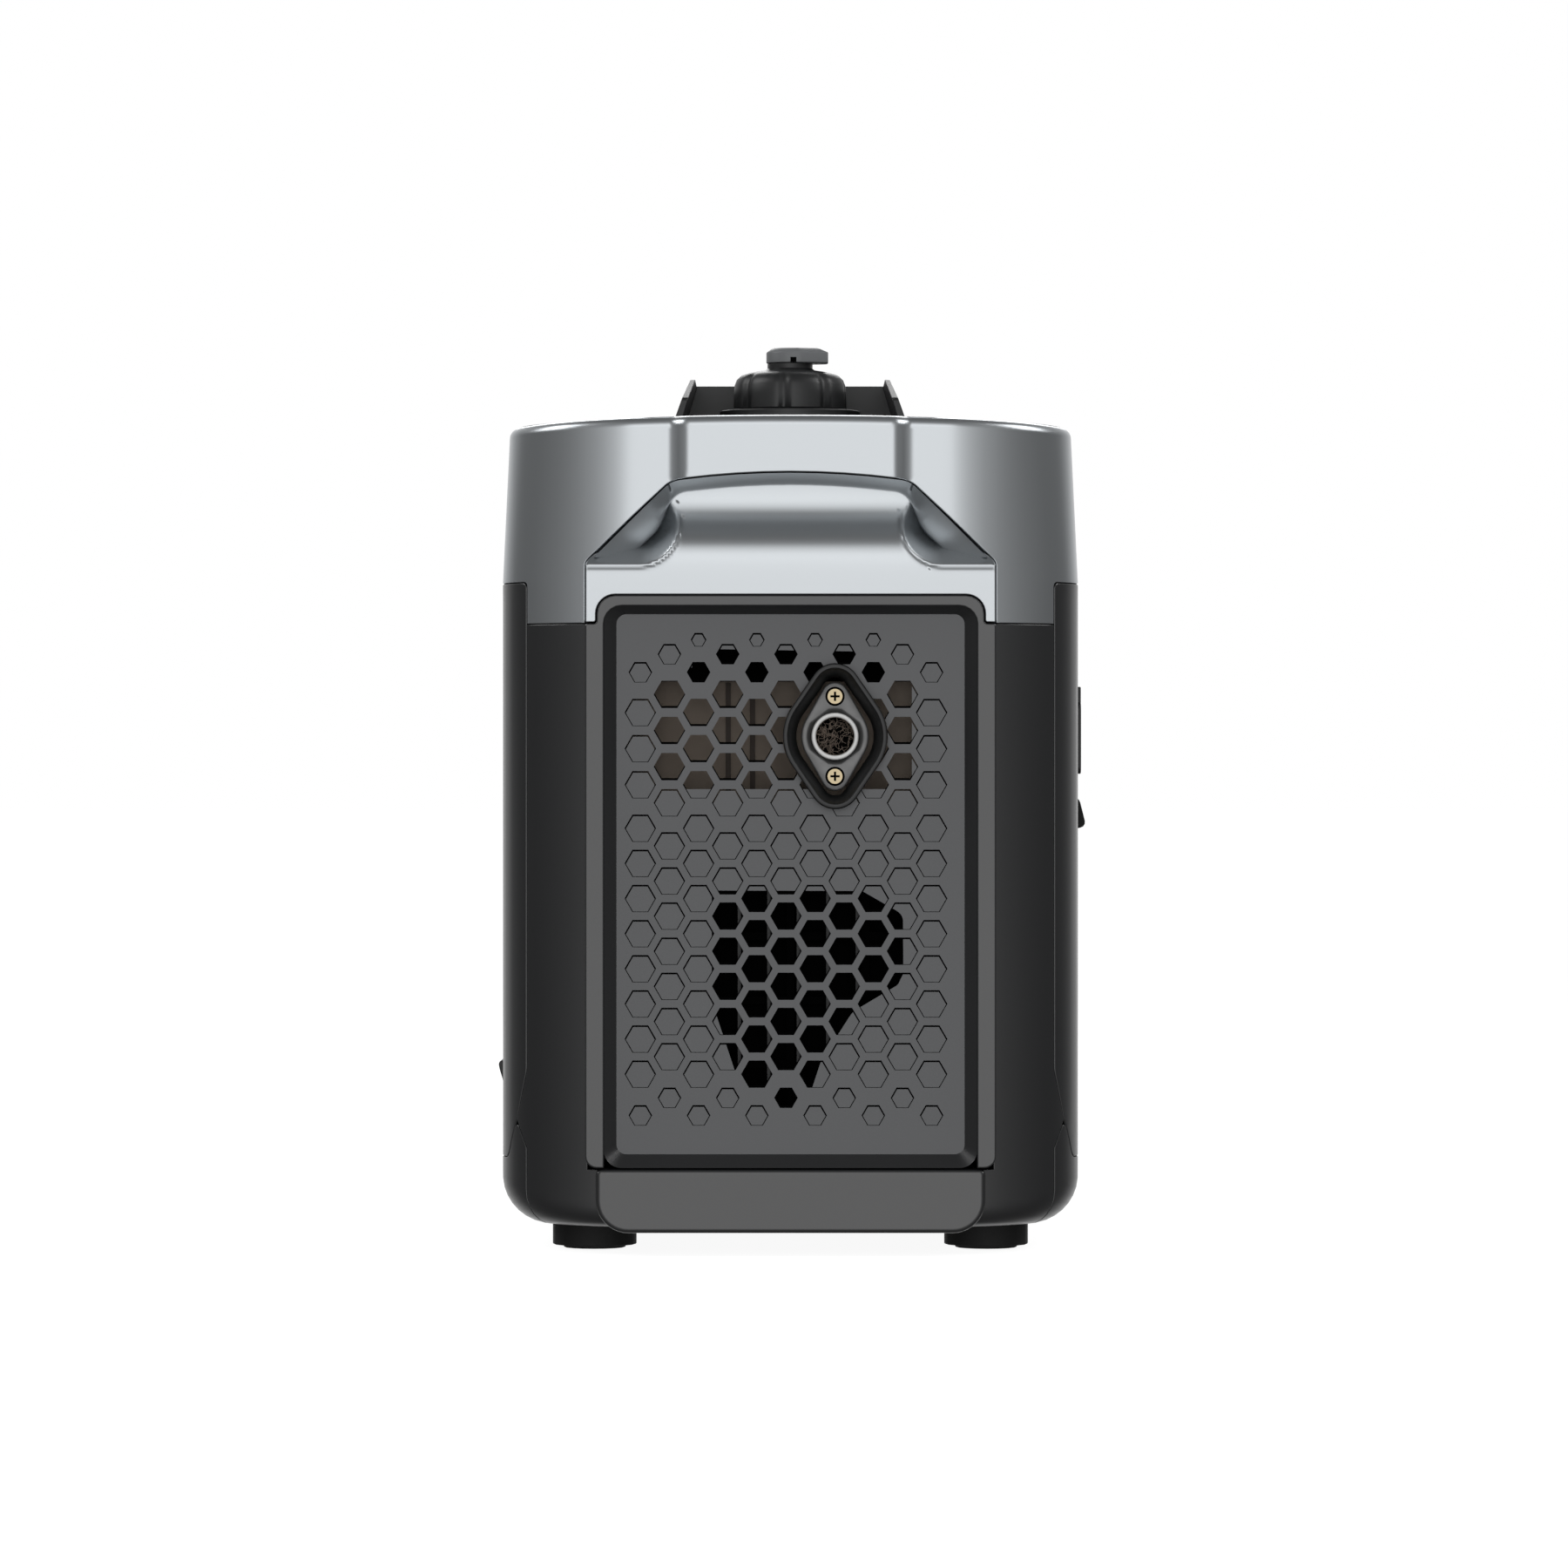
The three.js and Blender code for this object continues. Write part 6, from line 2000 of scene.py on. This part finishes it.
@dataclass
class FuelCap:
    """The fluted fuel cap with a domed shoulder, and the vent knob on its neck."""

    radius: float = 31.1
    low: float = 444.0
    lobes: int = 8
    groove: float = 1.5
    groove_share: float = 0.16
    first_groove: float = math.radians(-96.3)
    bore: float = 26.6
    neck: float = 12.4
    knob: float = 13.0
    knob_low: float = 469.7
    knob_steps: tuple[tuple[float, float], ...] = (
        (0.97, 0.0), (1.0, 0.4), (1.0, 5.4), (0.985, 6.0), (0.78, 7.9), (0.7, 8.3),
    )
    tail: float = 20.9

    def ring(self, radius: float, height: float, flute: float, steps: int = 160) -> Array:
        """A loop of the cap.

        Args:
            radius: The loop's radius over the lobes.
            height: Its height.
            flute: The depth of the grooves between the lobes.
            steps: The points round it.

        Returns:
            The loop's points.
        """
        angle = np.arange(steps) / steps * math.tau
        phase = ((angle - self.first_groove) * self.lobes / math.tau + 0.5) % 1 - 0.5
        dent = flute * np.exp(-((phase / self.groove_share) ** 2) * 2.0)
        reach = radius - dent
        return np.column_stack([reach * np.cos(angle), reach * np.sin(angle), np.full(steps, height)])

    def cap(self) -> bpy.types.Mesh:
        """The cap, hollow below.

        Returns:
            The cap.
        """
        top = self.knob_low - 0.4
        profile = [
            (self.bore, 459.0, 0), (self.bore, self.low, 0), (self.radius - 0.4, self.low, self.groove),
            (self.radius, self.low + 0.5, self.groove), (self.radius - 0.1, 452.0, self.groove),
            (self.radius - 0.6, 457.5, self.groove), (self.radius - 1.8, 460.6, self.groove * 1.2),
            (self.radius - 4.4, 463.0, self.groove), (self.radius - 8.0, 464.2, 0.4), (19.0, 465.0, 0),
            (self.neck + 1.4, 465.8, 0), (self.neck, 466.8, 0), (self.neck, top, 0),
        ]
        return loft([self.ring(*row) for row in profile], around=False, name="fuel_cap")

    def knob_mesh(self) -> bpy.types.Mesh:
        """The knob: a disc with a broad tail and a chamfered top.

        Returns:
            The knob.
        """
        side = self.knob
        plan = rounded([
            (self.tail, -7.5, 1.5), (self.tail, 7.5, 1.5), (6.0, side, 9), (-side, side, side - 0.2),
            (-side, -side, side - 0.2), (6.0, -side, 9),
        ], 12)
        loops = []
        for scale, height in self.knob_steps:
            loops.append(np.array([(u * scale, v * scale, self.knob_low + height) for u, v in plan]))
        return loft(loops, around=False, name="vent_knob")

    def build(self, shop: Workshop) -> None:
        """Makes the cap and its knob.

        Args:
            shop: Places them.
        """
        shop.place("fuel_cap_fluted", self.cap(), NYLON, "fuel_cap", ["fuel_cap"])
        shop.place("vent_knob_disc", self.knob_mesh(), GREY_PAINT, "vent_knob", ["vent_knob"])
        # Painted shade: the notch in the knob's side drawn as a near-black patch.
        notch_shade = Draft()
        front = -self.knob - 0.05
        skin(notch_shade, rear_flat(front), box(0.2, 3.5, self.knob_low + 0.1, self.knob_low + 2.9), 2.0, 0.1)
        shop.place("vent_knob_notch_shade", notch_shade.mesh("notch_shade"), PAINTED_SHADE_NYLON, "vent_knob")


# ---------------------------------------------------------------- small pieces and kept nodes


@dataclass
class SmallPieces:
    """Pieces whose CAD form stays, with rounded edges and a real finish."""

    softened: dict[str, tuple] = field(default_factory=lambda: {
        "cap_guard": (NYLON, 0.7, "enclosure"), "filler_ring": (NYLON, 0.6, "enclosure"),
        "foot_rear_left": (RUBBER, 0.7, "enclosure"), "foot_rear_right": (RUBBER, 0.7, "enclosure"),
        "foot_front_left": (RUBBER, 0.7, "enclosure"), "foot_front_right": (RUBBER, 0.7, "enclosure"),
        "recoil_grip": (RUBBER, 0.8, "recoil_grip"), "rope_guide": (NYLON, 0.3, "enclosure"),
        "engine_dial": (NYLON, 0.6, "engine_dial"), "door_latch": (NYLON, 0.5, "door_latch"),
        "control_panel": (PANEL_ABS, 0.5, "enclosure"), "ac_outlet_left": (NYLON, 0.6, "enclosure"),
        "ac_outlet_right": (NYLON, 0.6, "enclosure"), "status_display": (SMOKED_WINDOW, 0.4, "enclosure"),
        "dc_port_cover": (RUBBER, 0.8, "dc_port_cover"), "eco_switch": (NYLON, 0.4, "eco_switch"),
        "reset_button": (RUBBER, 0.8, "reset_button"), "breaker_button": (RUBBER, 0.8, "breaker_button"),
        "ground_terminal": (YELLOW_ZINC, 0.4, "enclosure"),
    })
    kept: dict[str, Finish] = field(default_factory=lambda: {
        # The cooling duct takes the near-black painted-shade finish, darker than its own nylon.
        "muffler": HEATED_SHEET, "cooling_duct": PAINTED_SHADE_NYLON, "crankcase": CAST_ALUMINIUM,
        "cylinder": CAST_ALUMINIUM,
        "cylinder_head": CAST_ALUMINIUM, "piston": CAST_ALUMINIUM, "crankshaft": TURNED_STEEL,
        "spark_plug": TURNED_STEEL, "spark_plug_boot": RUBBER, "oil_filler_cap": NYLON,
        "alternator_stator": COPPER_WINDING, "alternator_rotor": TURNED_STEEL, "cooling_fan": NYLON,
        "recoil_housing": NYLON, "recoil_pulley": NYLON, "carburettor": CAST_ALUMINIUM,
        "air_filter_box": NYLON,
        "fuel_tank": NYLON, "fuel_hose": RUBBER, "ignition_coil": NYLON, "ignition_lead": RUBBER,
        "inverter_module": CAST_ALUMINIUM, "dc_port": NYLON,
    })

    def build(self, shop: Workshop) -> None:
        """Rounds the edges of the visible pieces and dresses the nodes that stay."""
        for node, (finish, bevel, body) in self.softened.items():
            shop.soften(node, finish, bevel, body)
        for node, finish in self.kept.items():
            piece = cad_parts[node]
            piece.data.materials.clear()
            piece.data.materials.append(finish.material())


# ---------------------------------------------------------------- the studio


@dataclass(frozen=True)
class Lamp:
    """A square area light: where it stands, its power in watts and the length of its sides."""

    name: str
    place: tuple[float, float, float]
    power: float
    side: float


@dataclass
class Studio:
    """A pale floor, soft light from the front and a level camera on the exhaust end."""

    face: float
    distance: float = 3500.0
    aim: tuple[float, float] = (-3.3, 239.0)
    frame_width: float = 793.0
    sensor: float = 36.0
    front: float = 1.62
    low: float = 0.13
    rim: float = 1.1
    floor_reach: float = 60.0
    lamps: tuple[Lamp, ...] = (
        Lamp("left_light", (-2200.0, -300.0, 2100.0), 26.0, 1400.0),
        Lamp("right_light", (2200.0, -300.0, 2100.0), 26.0, 1400.0),
        Lamp("back_light", (0.0, 2600.0, 2000.0), 30.0, 1600.0),
        Lamp("front_light", (0.0, -3600.0, 1900.0), 9.0, 2200.0),
    )
    lamp_aim: float = 230.0

    def world(self) -> None:
        """Soft light that is bright in front, dim at the sides and pale behind."""
        world = bpy.data.worlds.new("studio")
        bpy.context.scene.world = world
        world.use_nodes = True
        tree = world.node_tree
        tree.nodes.clear()
        coords = add_node(tree, "ShaderNodeTexCoord")
        along = add_node(tree, "ShaderNodeSeparateXYZ", links={"Vector": coords.outputs["Generated"]})
        ramp = add_node(tree, "ShaderNodeValToRGB")
        share = add_node(
            tree, "ShaderNodeMapRange", {"From Min": -1.0, "From Max": 1.0}, {"Value": along.outputs["Y"]},
        )
        tree.links.new(share.outputs["Result"], ramp.inputs["Fac"])
        stops = ((0.0, self.front), (0.02, self.front * 0.9), (0.09, 0.5), (0.2, 0.3), (0.32, 0.2),
                 (0.5, self.low), (0.75, self.low * 1.3), (0.9, self.rim * 0.6), (1.0, self.rim))
        elements = ramp.color_ramp.elements
        while len(elements) < len(stops):
            elements.new(0.5)
        for element, (position, value) in zip(elements, stops):
            element.position = position
            element.color = (value, value, value, 1)
        soft = add_node(tree, "ShaderNodeBackground", links={"Color": ramp.outputs["Color"]})
        pale = add_node(tree, "ShaderNodeBackground", {"Color": (1.0, 1.0, 1.0, 1.0), "Strength": 1.0})
        rays = add_node(tree, "ShaderNodeLightPath")
        mix = add_node(tree, "ShaderNodeMixShader", links={
            "Fac": rays.outputs["Is Camera Ray"], 1: soft.outputs[0], 2: pale.outputs[0],
        })
        output = add_node(tree, "ShaderNodeOutputWorld")
        tree.links.new(mix.outputs[0], output.inputs["Surface"])

    def floor(self) -> None:
        """A wide pale floor that gives a faint contact shadow."""
        mesh = bpy.data.meshes.new("floor")
        reach = self.floor_reach
        mesh.from_pydata([(-reach, -reach, 0), (reach, -reach, 0), (reach, reach, 0), (-reach, reach, 0)], [],
                         [(0, 1, 2, 3)])
        material = bpy.data.materials.new("pale_floor")
        material.use_nodes = True
        tree = material.node_tree
        tree.nodes.clear()
        shader = add_node(tree, "ShaderNodeBsdfPrincipled", {
            "Base Color": (0.25, 0.25, 0.25, 1), "Roughness": 1.0, "Emission Color": (1.0, 1.0, 1.0, 1),
            "Emission Strength": 0.93, "Specular IOR Level": 0.0,
        })
        output = add_node(tree, "ShaderNodeOutputMaterial")
        tree.links.new(shader.outputs[0], output.inputs["Surface"])
        mesh.materials.append(material)
        floor = linked("floor", mesh)
        floor.visible_glossy = False
        floor.visible_diffuse = False

    def lights(self) -> None:
        """High lights on the left, on the right, behind and in front, so that every side reads."""
        for lamp in self.lamps:
            data = bpy.data.lights.new(lamp.name, "AREA")
            data.energy = lamp.power
            data.size = lamp.side * MM
            light = linked(lamp.name, data)
            light.location = Vector(lamp.place) * MM
            aim = Vector((0, 0, self.lamp_aim)) * MM - light.location
            light.rotation_euler = aim.to_track_quat("-Z", "Y").to_euler()

    def camera(self) -> None:
        """The level camera."""
        data = bpy.data.cameras.new("camera")
        data.sensor_width = self.sensor
        data.lens = self.sensor * self.distance / self.frame_width
        camera = linked("camera", data)
        camera.location = Vector((self.aim[0], self.face - self.distance, self.aim[1])) * MM
        camera.rotation_euler = (math.pi / 2, 0, 0)
        bpy.context.scene.camera = camera

    def build(self) -> None:
        """Sets the world, the floor, the lights and the camera."""
        self.world()
        self.floor()
        self.lights()
        self.camera()
        bpy.context.scene.view_settings.view_transform = "Standard"


def main() -> None:
    """Builds the generator piece by piece, then the studio."""
    logging.basicConfig(level=logging.INFO, format="%(name)s %(message)s")
    shop = Workshop()
    shell = Enclosure()
    shell.build(shop)
    Sides(shell).build(shop)
    RearGrille(shell).build(shop)
    Exhaust(shell).build(shop)
    Inside().build(shop)
    FuelCap().build(shop)
    SmallPieces().build(shop)
    Studio(shell.face).build()
    LOG.info("%d pieces made", shop.made)


if __name__ == "__main__":
    main()
